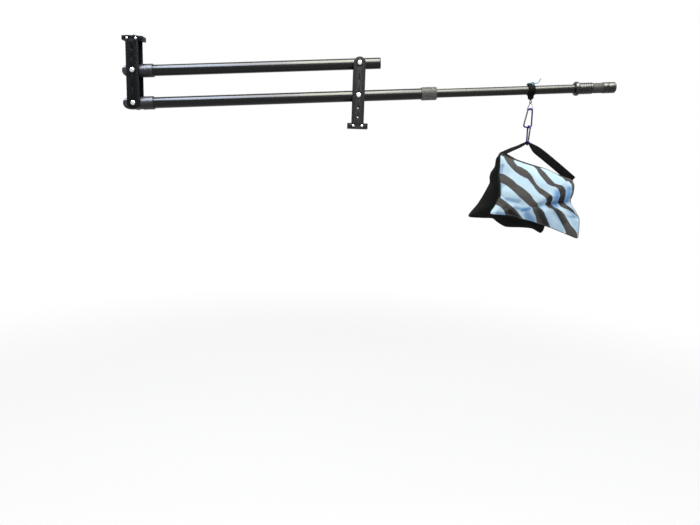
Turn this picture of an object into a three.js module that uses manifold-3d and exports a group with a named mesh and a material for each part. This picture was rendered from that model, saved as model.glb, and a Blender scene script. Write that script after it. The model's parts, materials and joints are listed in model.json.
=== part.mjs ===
// Camera jib crane: a parallelogram arm on a short column, a camera head at its front end,
// a telescoping rear tube with a lock collar and a grip, and a saddle bag that hangs from
// a hook collar on a ring and two spring-gate carabiners. Millimetres, Z up, X along the arm
// towards the bag. The origin is the middle of the base block's underside.

import * as THREE from "three";
import { mergeVertices } from "three/addons/utils/BufferGeometryUtils.js";
import Module from "manifold-3d";

const wasm = await Module();
wasm.setup();

// General clearances
const seat = 0.3; // gap between a piece and the piece that seats it
const overrun = 2; // how far a cut runs past the face that it leaves

// How finely round shapes are cut
const roundSides = { tube: 24, grip: 20, bore: 14, small: 12, hole: 8, wire: 8, thinWire: 6 };
const domeSteps = { pivotBolt: 3, blockScrew: 2 };
const bendStepDegrees = 18; // how far a bent wire turns between two stations

// Side bar: the same flat bar makes the column and, turned over, the camera head
const bar = {
  width: 35,
  thickness: 4,
  between: 40, // clear space between a pair of bars
  screwRow: 8, // all heights from the square end
  lowSpareHole: 34,
  highSpareHole: 60.5,
  innerPivot: 95,
  pivotPitch: 91,
  spareHole: 6.5,
  screwSpread: 25,
  edgeBreak: 0.4,
};

// Blocks that hold a pair of bars apart at their square ends
const block = { length: 60, cornerRadius: 4 };
const baseBlock = { height: 16, largeThread: 8, smallThread: 5.2, threadSpread: 30 };
const platform = { height: 12, screwHole: 6.8, spareThread: 8, threadSpread: 34 };
const blockScrew = {
  diameter: 4,
  headDiameter: 7,
  headHeight: 2.4,
  socket: 2.5,
  socketDepth: 1.3,
  length: 14,
};
const headRimShare = 0.25; // of a domed head's height, its upright rim
const domeTopShare = 0.6; // of the socket's width, the radius of a dome's flat top

// Parallelogram arm
const arm = { length: 652, lean: THREE.MathUtils.degToRad(3.925) };
const tube = { outer: 32, wall: 1.5, insideFitting: 24 };
const boomRear = 206; // rear end of the lower tube, from the column's pivot
const upperRear = 61.5; // rear end of the upper tube, from the column's pivot

// Pivot hardware
const pivotBolt = { diameter: 8, headDiameter: 14, headHeight: 4.4, socket: 5, socketDepth: 2.6 };
const pivotNut = {
  acrossFlats: 13,
  height: 6.5,
  flangeDiameter: 17,
  flangeThickness: 1.4,
  collarDiameter: 11.4,
  collarHeight: 1.5,
};
const threadPastNut = 1.5;
const spacerDiameter = 20;
const thrustWasherDiameter = 16;
const openPivotClearance = 0.5; // the upper arm's front bore, where the linkage closes

// Front end fitting of both arms
const fitting = {
  outer: 38,
  noseReach: 31, // ahead of the pivot
  noseHeight: 34,
  tongueWidth: 34,
  tongueEnd: 20, // behind the pivot, where the side flats stop
  shoulder: 6,
  sleeveEnd: 55,
  chamfer: 1.6,
};

// Twist lock at the lower tube's rear end
const lockCollar = { front: 186, length: 45, outer: 38, frontBevel: 2.2, lip: 6, chamfer: 1.2 };
const collet = { inTube: 20, flangeLength: 14, noseDiameter: 29, slitWidth: 2, slits: 3, slitStart: 4 };

// Telescoping rear tube and its grip
const extension = { outer: 25.4, wall: 1.5, front: 120, bushLength: 20, inCap: 8 };
const grip = {
  flangeFront: 643,
  flangeLength: 12,
  flangeDiameter: 41,
  flangeNeck: 36,
  flangeEdge: 2.5,
  ribs: 6,
  ribZone: 42,
  ribDiameter: 33.4,
  rootDiameter: 30.6,
  crestShares: [0.2, 0.6], // of a rib's pitch, where its crest starts and stops
  bandDiameter: 29.6,
  bandLength: 31,
  capDiameter: 32,
  capLength: 37.5,
  capGroove: 14,
  grooveWidth: 2,
  grooveDepth: 1.4,
  capEdge: 3,
};
const plug = { lip: 1.6, depth: 14, rim: 0.4 };

// Camera screw: a knurled knob under the platform and a stud through it
const cameraScrew = {
  stud: 6.2,
  studAbove: 5.5,
  knobDiameter: 20,
  knobHeight: 8,
  flutes: 12,
  fluteDiameter: 3,
};

// Hook collar that carries the counterweight
const hook = {
  place: 513, // along the arm, from the column's pivot
  width: 20,
  outer: 31,
  lugWidth: 15,
  lugDepth: 11,
  lugDrop: 27.5, // from the tube's axis
  bossDiameter: 11,
  bossPlace: -4.5, // from the collar's middle
  bossTop: 21,
  bossEdge: 1.5,
  grubDiameter: 5,
  grubSocket: 2.5,
  grubSocketDepth: 2.5,
};
const eye = { wire: 2.2, radius: 4, shank: 3, shankLength: 8, collarDiameter: 6, collarHeight: 1, turn: 24 };
const tie = { diameter: 2.5, knotRadius: 3.2, tailDiameter: 2.2, tailStep: 5.5 };
// Route of the tied cord's tail, from the middle of the hook collar
const tailRoute = [
  [7.9, -0.4, 19.6],
  [9.9, -0.8, 19.5],
  [11.8, -1.5, 19.3],
  [13.6, -2.6, 19.0],
  [15.2, -4.0, 18.9],
  [16.9, -5.2, 19.1],
  [18.7, -5.9, 19.7],
  [20.4, -6.0, 20.8],
  [21.8, -5.6, 22.2],
  [23.0, -4.7, 23.7],
  [24.0, -3.6, 25.2],
  [25.0, -2.5, 26.7],
  [26.1, -1.6, 28.2],
  [27.3, -0.9, 29.6],
  [28.6, -0.5, 31.0],
  [30.0, -0.3, 32.3],
];

// Chain from the hook collar down to the bag
const ring = {
  wire: 2.2,
  width: 26,
  drop: 19,
  corner: 3,
  joint: 0.4,
  slack: 0.05, // added to the apex's bend, so that it stays clear of the eye at every angle
  turn: -66,
};
const carabiner = {
  wire: 4.6,
  length: 60,
  width: 28.6,
  narrowRadius: 7.3,
  spineCorner: 8.5,
  gateCorner: 5.5,
  gateCornerRise: 1.6,
  gateWire: 4.4,
  gateGap: 0.4,
  tongue: 2,
  tongueLength: 4.2,
  tongueWidth: 3.4,
  slotDepth: 5.6,
  pin: 1.2,
  frontStub: 1.5, // straight frame ahead of the gate at the narrow end
  rearStub: 1,
};
const upperTurn = 6; // degrees about the upright, for the upper carabiner
const lowerTurn = -90;

// Saddle bag: two pouches that hang from a panel between them, and a webbing handle
const bag = {
  width: 340,
  height: 290,
  panelWidth: 50,
  panelThickness: 5,
  hem: 10, // thickness of a pouch at its edge
  nearBelly: 31,
  farBelly: 40,
  splay: 12, // how much further out a pouch hangs at its foot
  strapWidth: 25,
  strapThickness: 3,
  neckRadius: 4.25, // the webbing is gathered where it goes through the carabiner
  neckSteps: 5,
  strapSides: 12,
  squareness: 0.7, // how nearly square the flat webbing's edges are
};
// Layers of a pouch, as shares of the way from its middle to its outline
const pouchLayerShares = [0.05, 0.45, 0.75, 0.93, 1];
// Outlines as shares of the bag's width and height, from the place that it hangs on
const nearOutlineShares = [
  [-0.26, -0.094], [-0.141, -0.145], [0.03, -0.202], [0.172, -0.245], [0.25, -0.284],
  [0.337, -0.318], [0.395, -0.338], [0.418, -0.396], [0.411, -0.482], [0.393, -0.548],
  [0.403, -0.602], [0.446, -0.666], [0.486, -0.747], [0.489, -0.862], [0.482, -0.943],
  [0.385, -0.905], [0.238, -0.843], [0.117, -0.804], [-0.023, -0.765], [-0.176, -0.727],
  [-0.317, -0.715], [-0.276, -0.627], [-0.252, -0.539], [-0.257, -0.421], [-0.267, -0.315],
  [-0.266, -0.208],
];
const nearMiddleShares = [-0.08, -0.52];
const farOutlineShares = [
  [-0.182, -0.088], [-0.227, -0.14], [-0.235, -0.235], [-0.274, -0.303], [-0.276, -0.359],
  [-0.247, -0.42], [-0.299, -0.529], [-0.36, -0.644], [-0.456, -0.773], [-0.332, -0.786],
  [-0.229, -0.788], [-0.182, -0.826], [-0.1, -0.875], [0.029, -0.877], [0.148, -0.884],
  [0.236, -0.933], [0.17, -0.83], [0.1, -0.72], [0.11, -0.58], [0.2, -0.43],
  [0.37, -0.345], [0.25, -0.285], [0.1, -0.22], [-0.05, -0.16],
];
const farMiddleShares = [-0.15, -0.57];
const panelEndShares = [[-0.235, -0.102], [0.395, -0.338]];
// The handle's middle line on each side of its neck, with the width's twist out of the level, in
// degrees, and how flat the webbing has become
const leftStrapShares = [
  { place: [-0.032, 0.008], twist: 4, flat: 0.35 },
  { place: [-0.075, -0.018], twist: 8, flat: 0.8 },
  { place: [-0.145, -0.055], twist: 12, flat: 1 },
  { place: [-0.228, -0.107], twist: 15, flat: 1 },
];
const rightStrapShares = [
  { place: [0.039, 0.006], twist: 30, flat: 0.4 },
  { place: [0.089, -0.027], twist: 65, flat: 0.8 },
  { place: [0.15, -0.088], twist: 88, flat: 1 },
  { place: [0.268, -0.2], twist: 90, flat: 1 },
  { place: [0.353, -0.274], twist: 90, flat: 1 },
  { place: [0.438, -0.35], twist: 90, flat: 1 },
];
const neckSpreadDegrees = [22, -28];

// Finishes
const finishes = {
  satinBlack: { color: 0x26272a, roughness: 0.45, metalness: 0.6 },
  glossBlack: { color: 0x1b1c1e, roughness: 0.25, metalness: 0.6 },
  softBlack: { color: 0x1d1d1e, roughness: 0.75, metalness: 0 },
  greyPlastic: { color: 0x5b5b59, roughness: 0.6, metalness: 0 },
  silver: { color: 0xd8d9da, roughness: 0.25, metalness: 1 },
  darkSteel: { color: 0x4b4c4e, roughness: 0.4, metalness: 1 },
  nylon: { color: 0x303133, roughness: 0.6, metalness: 0 },
  royalBlue: { color: 0x2c34b0, roughness: 0.3, metalness: 0.7 },
  skyCloth: { color: 0xa3d0f0, roughness: 0.85, metalness: 0 },
  blackCloth: { color: 0x161617, roughness: 0.9, metalness: 0 },
  blueCord: { color: 0x2f6f9c, roughness: 0.8, metalness: 0 },
};

// Solids and booleans

function toSolid(geometry) {
  const bare = geometry.clone();
  for (const extra of ["normal", "uv"]) bare.deleteAttribute(extra);
  const merged = mergeVertices(bare);
  return new wasm.Manifold(
    new wasm.Mesh({
      numProp: 3,
      vertProperties: merged.attributes.position.array,
      triVerts: new Uint32Array(merged.index.array),
    }),
  );
}

function fromSolid(solid) {
  const made = solid.getMesh();
  const geometry = new THREE.BufferGeometry();
  geometry.setAttribute("position", new THREE.BufferAttribute(made.vertProperties, 3));
  geometry.setIndex(new THREE.BufferAttribute(made.triVerts, 1));
  return geometry;
}

function cut(whole, ...tools) {
  return fromSolid(tools.reduce((left, tool) => left.subtract(toSolid(tool)), toSolid(whole)));
}

function join(first, ...others) {
  return fromSolid(others.reduce((sum, other) => sum.add(toSolid(other)), toSolid(first)));
}

function common(first, second) {
  return fromSolid(toSolid(first).intersect(toSolid(second)));
}

// Simple shapes

function alongAxis(geometry, axis) {
  if (axis === "x") return geometry.rotateZ(-Math.PI / 2);
  if (axis === "z") return geometry.rotateX(Math.PI / 2);
  return geometry;
}

// A cylinder from one place to another along an axis
function cylinder(axis, radius, from, to, sides = roundSides.tube) {
  const geometry = new THREE.CylinderGeometry(radius, radius, to - from, sides);
  geometry.translate(0, (from + to) / 2, 0);
  return alongAxis(geometry, axis);
}

// A prism with flats, such as a hexagon, from one place to another along an axis
function hexagon(axis, acrossFlats, from, to) {
  const corners = 6;
  return cylinder(axis, acrossFlats / 2 / Math.cos(Math.PI / corners), from, to, corners);
}

function box(xs, ys, zs) {
  const geometry = new THREE.BoxGeometry(xs[1] - xs[0], ys[1] - ys[0], zs[1] - zs[0]);
  return geometry.translate((xs[0] + xs[1]) / 2, (ys[0] + ys[1]) / 2, (zs[0] + zs[1]) / 2);
}

// Turned about an axis from a closed profile of [place along the axis, radius]
function turned(axis, profile, sides = roundSides.tube) {
  let area = 0;
  profile.forEach(([along, radius], i) => {
    const [nextAlong, nextRadius] = profile[(i + 1) % profile.length];
    area += radius * nextAlong - nextRadius * along;
  });
  const outward = area > 0 ? profile : [...profile].reverse();
  const points = [...outward, outward[0]].map(([along, radius]) => new THREE.Vector2(radius, along));
  return alongAxis(new THREE.LatheGeometry(points, sides), axis);
}

function hollowTube(axis, outer, inner, from, to, sides = roundSides.tube) {
  return turned(axis, [[from, inner], [from, outer], [to, outer], [to, inner]], sides);
}

// An outline in the XZ plane, pushed out along Y between two places
function sidePlate(shape, from, to, bevel = 0, curveSegments = roundSides.hole) {
  const geometry = new THREE.ExtrudeGeometry(shape, {
    depth: to - from - 2 * bevel,
    curveSegments,
    bevelEnabled: bevel > 0,
    bevelThickness: bevel,
    bevelSize: bevel,
    bevelOffset: -bevel,
    bevelSegments: 1,
  });
  geometry.rotateX(Math.PI / 2);
  return geometry.translate(0, to - bevel, 0);
}

// An outline in the XY plane, pushed up along Z
function floorPlate(shape, from, to) {
  const settings = { depth: to - from, bevelEnabled: false, curveSegments: roundSides.hole / 4 };
  return new THREE.ExtrudeGeometry(shape, settings).translate(0, 0, from);
}

function roundedRectangle(length, width, radius) {
  const shape = new THREE.Shape();
  const x = length / 2 - radius;
  const y = width / 2 - radius;
  shape.absarc(x, y, radius, 0, Math.PI / 2);
  shape.absarc(-x, y, radius, Math.PI / 2, Math.PI);
  shape.absarc(-x, -y, radius, Math.PI, 1.5 * Math.PI);
  shape.absarc(x, -y, radius, 1.5 * Math.PI, 2 * Math.PI);
  return shape;
}

// A flat path drawn in (across, up), used as a curve in the XZ plane: it has stations only at
// the ends of its straight runs and along its bends
class BentWire extends THREE.Curve {
  constructor(path) {
    super();
    this.stations = [];
    for (const run of path.curves) {
      const bend = run.isLineCurve ? 0 : Math.abs(run.aEndAngle - run.aStartAngle);
      const count = Math.max(1, Math.round(THREE.MathUtils.radToDeg(bend) / bendStepDegrees));
      for (let i = this.stations.length ? 1 : 0; i <= count; i++) {
        const point = run.getPoint(i / count);
        const tangent = run.getTangent(i / count);
        this.stations.push([point, tangent].map(({ x, y }) => new THREE.Vector3(x, 0, y)));
      }
    }
    this.steps = this.stations.length - 1;
  }
  getPointAt(share) {
    return this.stations[Math.round(share * this.steps)][0].clone();
  }
  getTangentAt(share) {
    return this.stations[Math.round(share * this.steps)][1].clone();
  }
}

function wireAlong(curve, radius, steps, sides = roundSides.wire) {
  const section = new THREE.Shape();
  section.absarc(0, 0, radius, 0, 2 * Math.PI);
  const settings = { extrudePath: curve, steps, curveSegments: sides / 2, bevelEnabled: false };
  return new THREE.ExtrudeGeometry(section, settings);
}

// The straight run from one circle to the next of a belt that goes round them anticlockwise
function beltRun(from, to) {
  const heading = Math.atan2(to.y - from.y, to.x - from.x);
  const distance = Math.hypot(to.x - from.x, to.y - from.y);
  const normal = heading - Math.acos((from.r - to.r) / distance);
  const at = (circle) => new THREE.Vector2(
    circle.x + circle.r * Math.cos(normal),
    circle.y + circle.r * Math.sin(normal),
  );
  return { normal, start: at(from), end: at(to) };
}

// A closed skin over rings of points, one ring after the other, with both ends capped
function loft(rings) {
  const positions = rings.flat().flatMap((point) => [point.x, point.y, point.z]);
  const size = rings[0].length;
  const index = [];
  for (let r = 0; r + 1 < rings.length; r++) {
    for (let i = 0; i < size; i++) {
      const a = r * size + i;
      const b = r * size + ((i + 1) % size);
      index.push(a, b, b + size, a, b + size, a + size);
    }
  }
  const last = (rings.length - 1) * size;
  for (const [offset, flip] of [[0, true], [last, false]]) {
    const middle = positions.length / 3;
    const centre = new THREE.Vector3();
    for (let i = 0; i < size; i++) centre.add(rings[offset / size][i]);
    centre.divideScalar(size);
    positions.push(centre.x, centre.y, centre.z);
    for (let i = 0; i < size; i++) {
      const a = offset + i;
      const b = offset + ((i + 1) % size);
      if (flip) index.push(middle, b, a);
      else index.push(middle, a, b);
    }
  }
  const geometry = new THREE.BufferGeometry();
  geometry.setAttribute("position", new THREE.BufferAttribute(new Float32Array(positions), 3));
  geometry.setIndex(index);
  return geometry;
}

// Scene graph

const jib = new THREE.Group();

function add(parent, name, geometry, finish) {
  const mesh = new THREE.Mesh(geometry, new THREE.MeshStandardMaterial({ ...finish }));
  mesh.name = name;
  parent.add(mesh);
}

function groupAt(parent, x, y, z, tilt = 0, turn = 0) {
  const made = new THREE.Group();
  made.position.set(x, y, z);
  made.rotation.set(0, tilt, turn, "ZYX");
  parent.add(made);
  return made;
}

// Side bars

const innerFace = bar.between / 2;
const outerFace = innerFace + bar.thickness;
const outerPivot = bar.innerPivot + bar.pivotPitch;
const boltBore = pivotBolt.diameter / 2 + seat;
const screwBore = blockScrew.diameter / 2 + seat;

// Round at the top about the outer pivot, square at the foot
function barOutline() {
  const half = bar.width / 2;
  const shape = new THREE.Shape();
  shape.moveTo(-half, 0);
  shape.lineTo(half, 0);
  shape.absarc(0, outerPivot, half, 0, Math.PI);
  return shape;
}

function sideBar(side) {
  const [from, to] = facesOf(side, innerFace, outerFace);
  const plate = sidePlate(barOutline(), from, to, bar.edgeBreak, roundSides.bore / 2);
  const holes = [
    [0, outerPivot, boltBore],
    [0, bar.innerPivot, boltBore],
    [0, bar.innerPivot + bar.pivotPitch / 2, bar.spareHole / 2],
    [0, bar.highSpareHole, bar.spareHole / 2],
    [0, bar.lowSpareHole, bar.spareHole / 2],
    [-bar.screwSpread / 2, bar.screwRow, screwBore],
    [bar.screwSpread / 2, bar.screwRow, screwBore],
  ].map(([x, z, radius]) =>
    cylinder("y", radius, from - overrun, to + overrun, roundSides.small).translate(x, 0, z));
  return cut(plate, ...holes);
}

// Pivot hardware, all along Y with the bolt's head at the near side

const headFace = outerFace + seat;
const nutEnd = headFace + pivotNut.height + pivotNut.collarHeight;
const sides = { near: -1, far: 1 };

// Faces along Y of a piece that lies between two distances from the middle, on one side
const facesOf = (side, inner, outer) => (side < 0 ? [-outer, -inner] : [inner, outer]);

// A domed head with a hexagon socket, its flat face at a place along Y and its dome towards -Y
function domedHead(face, size, steps, sides) {
  const radius = size.headDiameter / 2;
  const rim = size.headHeight * headRimShare;
  const narrowing = radius - size.socket * domeTopShare;
  const profile = [[face, 0], [face, radius], [face - rim, radius]];
  for (let i = 1; i <= steps; i++) {
    const angle = (i / steps) * (Math.PI / 2);
    profile.push([
      face - rim - (size.headHeight - rim) * Math.sin(angle),
      radius - narrowing * (1 - Math.cos(angle)),
    ]);
  }
  profile.push([face - size.headHeight, 0]);
  return turned("y", profile, sides);
}

function pivotBoltSolid() {
  const head = domedHead(-headFace, pivotBolt, domeSteps.pivotBolt, roundSides.bore);
  const tip = nutEnd + threadPastNut;
  const shank = cylinder("y", pivotBolt.diameter / 2, -headFace - overrun / 2, tip, roundSides.small);
  const top = -headFace - pivotBolt.headHeight;
  const socket = hexagon("y", pivotBolt.socket, top - overrun, top + pivotBolt.socketDepth);
  return cut(join(head, shank), socket);
}

// A flange nut with a locking collar at its outer end
function pivotNutSolid() {
  const body = hexagon("y", pivotNut.acrossFlats, headFace, headFace + pivotNut.height);
  const flangeEnd = headFace + pivotNut.flangeThickness;
  const flange = cylinder("y", pivotNut.flangeDiameter / 2, headFace, flangeEnd, roundSides.bore);
  const collarFrom = headFace + pivotNut.height - overrun / 2;
  const collar = cylinder("y", pivotNut.collarDiameter / 2, collarFrom, nutEnd, roundSides.small);
  const bore = cylinder("y", boltBore, headFace - overrun, nutEnd + overrun, roundSides.bore);
  return cut(join(body, flange, collar), bore);
}

function addPivotHardware(parent, name, height) {
  add(parent, `${name}_bolt`, pivotBoltSolid().translate(0, 0, height), finishes.silver);
  add(parent, `${name}_nut`, pivotNutSolid().translate(0, 0, height), finishes.silver);
}

// Blocks between the bars

const blockHalfDepth = innerFace - seat;
const screwPlaces = [-1, 1].flatMap((side) =>
  [-1, 1].map((across) => [side, (across * bar.screwSpread) / 2]));

// Screws through both bars into a block, at a height
function addBlockScrews(parent, name, height) {
  const root = -headFace - blockScrew.headHeight * headRimShare;
  const tip = blockScrew.length - headFace;
  const top = -headFace - blockScrew.headHeight;
  for (const [side, x] of screwPlaces) {
    const knob = domedHead(-headFace, blockScrew, domeSteps.blockScrew, roundSides.small);
    const shank = cylinder("y", blockScrew.diameter / 2, root, tip, roundSides.wire);
    const socket = hexagon("y", blockScrew.socket, top - overrun, top + blockScrew.socketDepth);
    const screw = cut(join(knob, shank), socket);
    if (side > 0) screw.rotateZ(Math.PI);
    const place = `${side < 0 ? "near" : "far"}_${x < 0 ? "front" : "rear"}`;
    add(parent, `${name}_${place}_screw`, screw.translate(x, 0, height), finishes.silver);
  }
}

// A rounded block with its screw holes and two upright threads
function spacerBlock(size, bottom, screwHeight, threads) {
  const top = bottom + size.height;
  const outline = roundedRectangle(block.length, 2 * blockHalfDepth, block.cornerRadius);
  const screwHoles = screwPlaces.map(([side, x]) => {
    const ends = facesOf(side, outerFace - blockScrew.length, innerFace + overrun);
    return cylinder("y", screwBore, ends[0], ends[1], roundSides.hole).translate(x, 0, screwHeight);
  });
  const threadHoles = threads.map(([x, diameter]) =>
    cylinder("z", diameter / 2, bottom - overrun, top + overrun, roundSides.bore).translate(x, 0, 0));
  return cut(floorPlate(outline, bottom, top), ...screwHoles, ...threadHoles);
}

// Column

const column = groupAt(jib, 0, 0, 0);
for (const [name, side] of Object.entries(sides)) {
  add(column, `column_${name}_bar`, sideBar(side), finishes.satinBlack);
}
add(column, "base_block", spacerBlock(baseBlock, 0, bar.screwRow, [
  [-baseBlock.threadSpread / 2, baseBlock.largeThread],
  [baseBlock.threadSpread / 2, baseBlock.smallThread],
]), finishes.satinBlack);
addBlockScrews(column, "base", bar.screwRow);
addPivotHardware(column, "column_lower_pivot", bar.innerPivot);
addPivotHardware(column, "column_upper_pivot", outerPivot);

// Arms

const tubeRadius = tube.outer / 2;
const tubeBore = tubeRadius - tube.wall;

// The front end of an arm, with its pivot at x = 0: a tongue with side flats and a round nose,
// and a sleeve bored for the tube
function endFitting(clearance) {
  const radius = fitting.outer / 2;
  const body = turned("x", [
    [-fitting.noseReach, 0],
    [-fitting.noseReach, radius],
    [fitting.sleeveEnd - fitting.chamfer, radius],
    [fitting.sleeveEnd, radius - fitting.chamfer],
    [fitting.sleeveEnd, 0],
  ]);
  const half = fitting.noseHeight / 2;
  const noseCentre = half - fitting.noseReach;
  const outline = new THREE.Shape();
  const shoulderEnd = fitting.tongueEnd + fitting.shoulder;
  outline.absarc(noseCentre, 0, half, Math.PI / 2, 1.5 * Math.PI);
  outline.lineTo(fitting.tongueEnd, -half);
  outline.lineTo(shoulderEnd, -radius - overrun);
  outline.lineTo(fitting.sleeveEnd + overrun, -radius - overrun);
  outline.lineTo(fitting.sleeveEnd + overrun, radius + overrun);
  outline.lineTo(shoulderEnd, radius + overrun);
  outline.lineTo(fitting.tongueEnd, half);
  const profiled = common(body, sidePlate(outline, -radius - overrun, radius + overrun));
  const flats = [-1, 1].map((side) => box(
    [-fitting.noseReach - overrun, fitting.tongueEnd],
    facesOf(side, fitting.tongueWidth / 2, radius + overrun),
    [-radius, radius],
  ));
  const socket = cylinder("x", tubeRadius + seat, tube.insideFitting, fitting.sleeveEnd + overrun);
  const boreRadius = pivotBolt.diameter / 2 + clearance;
  const bore = cylinder("y", boreRadius, -radius - overrun, radius + overrun, roundSides.bore);
  return cut(profiled, ...flats, socket, bore);
}

// A tube between two places along the arm, drilled for the bolt of the column's pivot
function armTube(from, to) {
  const plain = hollowTube("x", tubeRadius, tubeBore, from, to);
  const drilled = cylinder("y", boltBore, -tubeRadius - overrun, tubeRadius + overrun, roundSides.bore);
  return cut(plain, drilled);
}

// A spacer with a round saddle that sits on the tube, between it and one side bar
function saddleSpacer(side) {
  const faces = facesOf(side, 0, innerFace - seat);
  const blank = cylinder("y", spacerDiameter / 2, faces[0], faces[1], roundSides.bore);
  const bore = cylinder("y", boltBore, faces[0] - overrun, faces[1] + overrun, roundSides.bore);
  const saddle = cylinder("x", tubeRadius + seat, -spacerDiameter, spacerDiameter);
  return cut(blank, saddle, bore);
}

function thrustWasher(side) {
  const [from, to] = facesOf(side, fitting.tongueWidth / 2 + seat, innerFace - seat);
  return hollowTube("y", thrustWasherDiameter / 2, boltBore, from, to, roundSides.bore);
}

// What both arms have: a tube, a front end, and spacers and washers on both sides
function addArm(parent, name, tubeRear, boreClearance) {
  add(parent, `${name}_tube`, armTube(tubeFront, tubeRear), finishes.glossBlack);
  const frontEnd = endFitting(boreClearance).translate(-arm.length, 0, 0);
  add(parent, `${name}_front_end`, frontEnd, finishes.satinBlack);
  for (const [place, side] of Object.entries(sides)) {
    add(parent, `${name}_${place}_saddle_spacer`, saddleSpacer(side), finishes.nylon);
    const washer = thrustWasher(side).translate(-arm.length, 0, 0);
    add(parent, `${name}_${place}_thrust_washer`, washer, finishes.nylon);
  }
}

const tubeFront = tube.insideFitting + seat - arm.length;

const boom = groupAt(jib, 0, 0, bar.innerPivot, -arm.lean);
addArm(boom, "boom", boomRear, seat);

const upperArm = groupAt(jib, 0, 0, outerPivot, -arm.lean);
addArm(upperArm, "upper_arm", upperRear - plug.lip - seat, openPivotClearance);

// End plug: a rim outside and a ribbed cup inside the tube
function endPlug() {
  const cupRadius = tubeBore - seat;
  const rimRadius = tubeRadius - plug.rim;
  const face = upperRear - plug.lip;
  const inner = cupRadius - tube.wall;
  return turned("x", [
    [upperRear, 0],
    [upperRear, rimRadius - plug.rim],
    [upperRear - plug.rim, rimRadius],
    [face, rimRadius],
    [face, cupRadius],
    [upperRear - plug.depth, cupRadius],
    [upperRear - plug.depth, inner],
    [face, inner],
    [face, 0],
  ], roundSides.grip);
}
add(upperArm, "upper_arm_end_plug", endPlug(), finishes.softBlack);

// Twist lock

const extensionRadius = extension.outer / 2;
const slideBore = extensionRadius + seat;

// A slit collet: its sleeve stands in the lower tube and its cone in the lock collar
function lockCollet() {
  const flangeFrom = boomRear + seat;
  const flangeTo = flangeFrom + collet.flangeLength;
  const sleeveRadius = tubeBore - seat;
  const blank = turned("x", [
    [boomRear - collet.inTube, slideBore],
    [boomRear - collet.inTube, sleeveRadius],
    [flangeFrom, sleeveRadius],
    [flangeFrom, tubeRadius],
    [flangeFrom + collet.slitStart, tubeRadius],
    [flangeTo, collet.noseDiameter / 2],
    [flangeTo, slideBore],
  ]);
  const slits = [];
  for (let i = 0; i < collet.slits; i++) {
    const slit = box(
      [flangeFrom + collet.slitStart, flangeTo + overrun],
      [-collet.slitWidth / 2, collet.slitWidth / 2],
      [0, tubeRadius + overrun],
    );
    slits.push(slit.rotateX((2 * Math.PI * i) / collet.slits));
  }
  return cut(blank, ...slits);
}
add(boom, "lock_collet", lockCollet(), finishes.nylon);

function twistCollar() {
  const { front, length, frontBevel, chamfer, lip } = lockCollar;
  const outer = lockCollar.outer / 2;
  const rear = front + length;
  const flangeFrom = boomRear + seat;
  const shoulder = flangeFrom + collet.slitStart + seat;
  const coneEnd = flangeFrom + collet.flangeLength + seat;
  return turned("x", [
    [front, tubeRadius + seat],
    [front, outer - frontBevel / 2],
    [front + frontBevel, outer],
    [rear - chamfer, outer],
    [rear, outer - chamfer],
    [rear, slideBore],
    [rear - lip, slideBore],
    [coneEnd, collet.noseDiameter / 2 + seat],
    [shoulder, tubeRadius + seat],
  ], roundSides.grip);
}
const lock = groupAt(boom, 0, 0, 0);
add(lock, "lock_collar", twistCollar(), finishes.greyPlastic);

// Telescoping rear tube

const sliding = groupAt(boom, 0, 0, 0);
const gripFront = grip.flangeFront + grip.flangeLength;
const bandFront = gripFront + grip.ribZone;
const capFront = bandFront + grip.bandLength;
const capRear = capFront + grip.capLength;
const extensionRear = capFront + extension.inCap;

add(sliding, "extension_tube", hollowTube(
  "x", extensionRadius, extensionRadius - extension.wall, extension.front, extensionRear,
), finishes.glossBlack);
add(sliding, "extension_bush", hollowTube(
  "x", tubeBore - seat, slideBore, extension.front, extension.front + extension.bushLength,
), finishes.nylon);

function gripFlange() {
  const radius = grip.flangeDiameter / 2;
  const front = grip.flangeFront;
  const rear = gripFront - seat;
  return turned("x", [
    [front, slideBore],
    [front, grip.flangeNeck / 2],
    [front + grip.flangeEdge, radius],
    [rear - grip.flangeEdge, radius],
    [rear, grip.flangeNeck / 2],
    [rear, slideBore],
  ], roundSides.grip);
}
add(sliding, "grip_flange", gripFlange(), finishes.satinBlack);

// Ribs that run round the grip, then a plain band
function gripSleeve() {
  const profile = [[gripFront, slideBore]];
  const pitch = grip.ribZone / grip.ribs;
  const [crestStart, crestStop] = grip.crestShares;
  for (let i = 0; i < grip.ribs; i++) {
    const from = gripFront + i * pitch;
    profile.push([from, grip.rootDiameter / 2]);
    profile.push([from + crestStart * pitch, grip.ribDiameter / 2]);
    profile.push([from + crestStop * pitch, grip.ribDiameter / 2]);
    profile.push([from + (crestStart + crestStop) * pitch, grip.rootDiameter / 2]);
  }
  profile.push([bandFront, grip.rootDiameter / 2]);
  profile.push([bandFront, grip.bandDiameter / 2]);
  profile.push([capFront - seat, grip.bandDiameter / 2]);
  profile.push([capFront - seat, slideBore]);
  return turned("x", profile, roundSides.grip);
}
add(sliding, "grip_sleeve", gripSleeve(), finishes.softBlack);

function gripCap() {
  const radius = grip.capDiameter / 2;
  const groove = capFront + grip.capGroove;
  const depth = extensionRear + seat;
  return turned("x", [
    [capFront, slideBore],
    [capFront, radius],
    [groove, radius],
    [groove, radius - grip.grooveDepth],
    [groove + grip.grooveWidth, radius - grip.grooveDepth],
    [groove + grip.grooveWidth, radius],
    [capRear - grip.capEdge, radius],
    [capRear, radius - grip.capEdge],
    [capRear, 0],
    [depth, 0],
    [depth, slideBore],
  ], roundSides.grip);
}
add(sliding, "grip_end_cap", gripCap(), finishes.satinBlack);

// Hook collar, drawn about the tube's axis with its middle at x = 0

const hookCollar = groupAt(sliding, hook.place, 0, 0);
const eyeCentreDrop = hook.lugDrop + seat + eye.collarHeight + eye.radius + eye.wire / 2;

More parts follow.
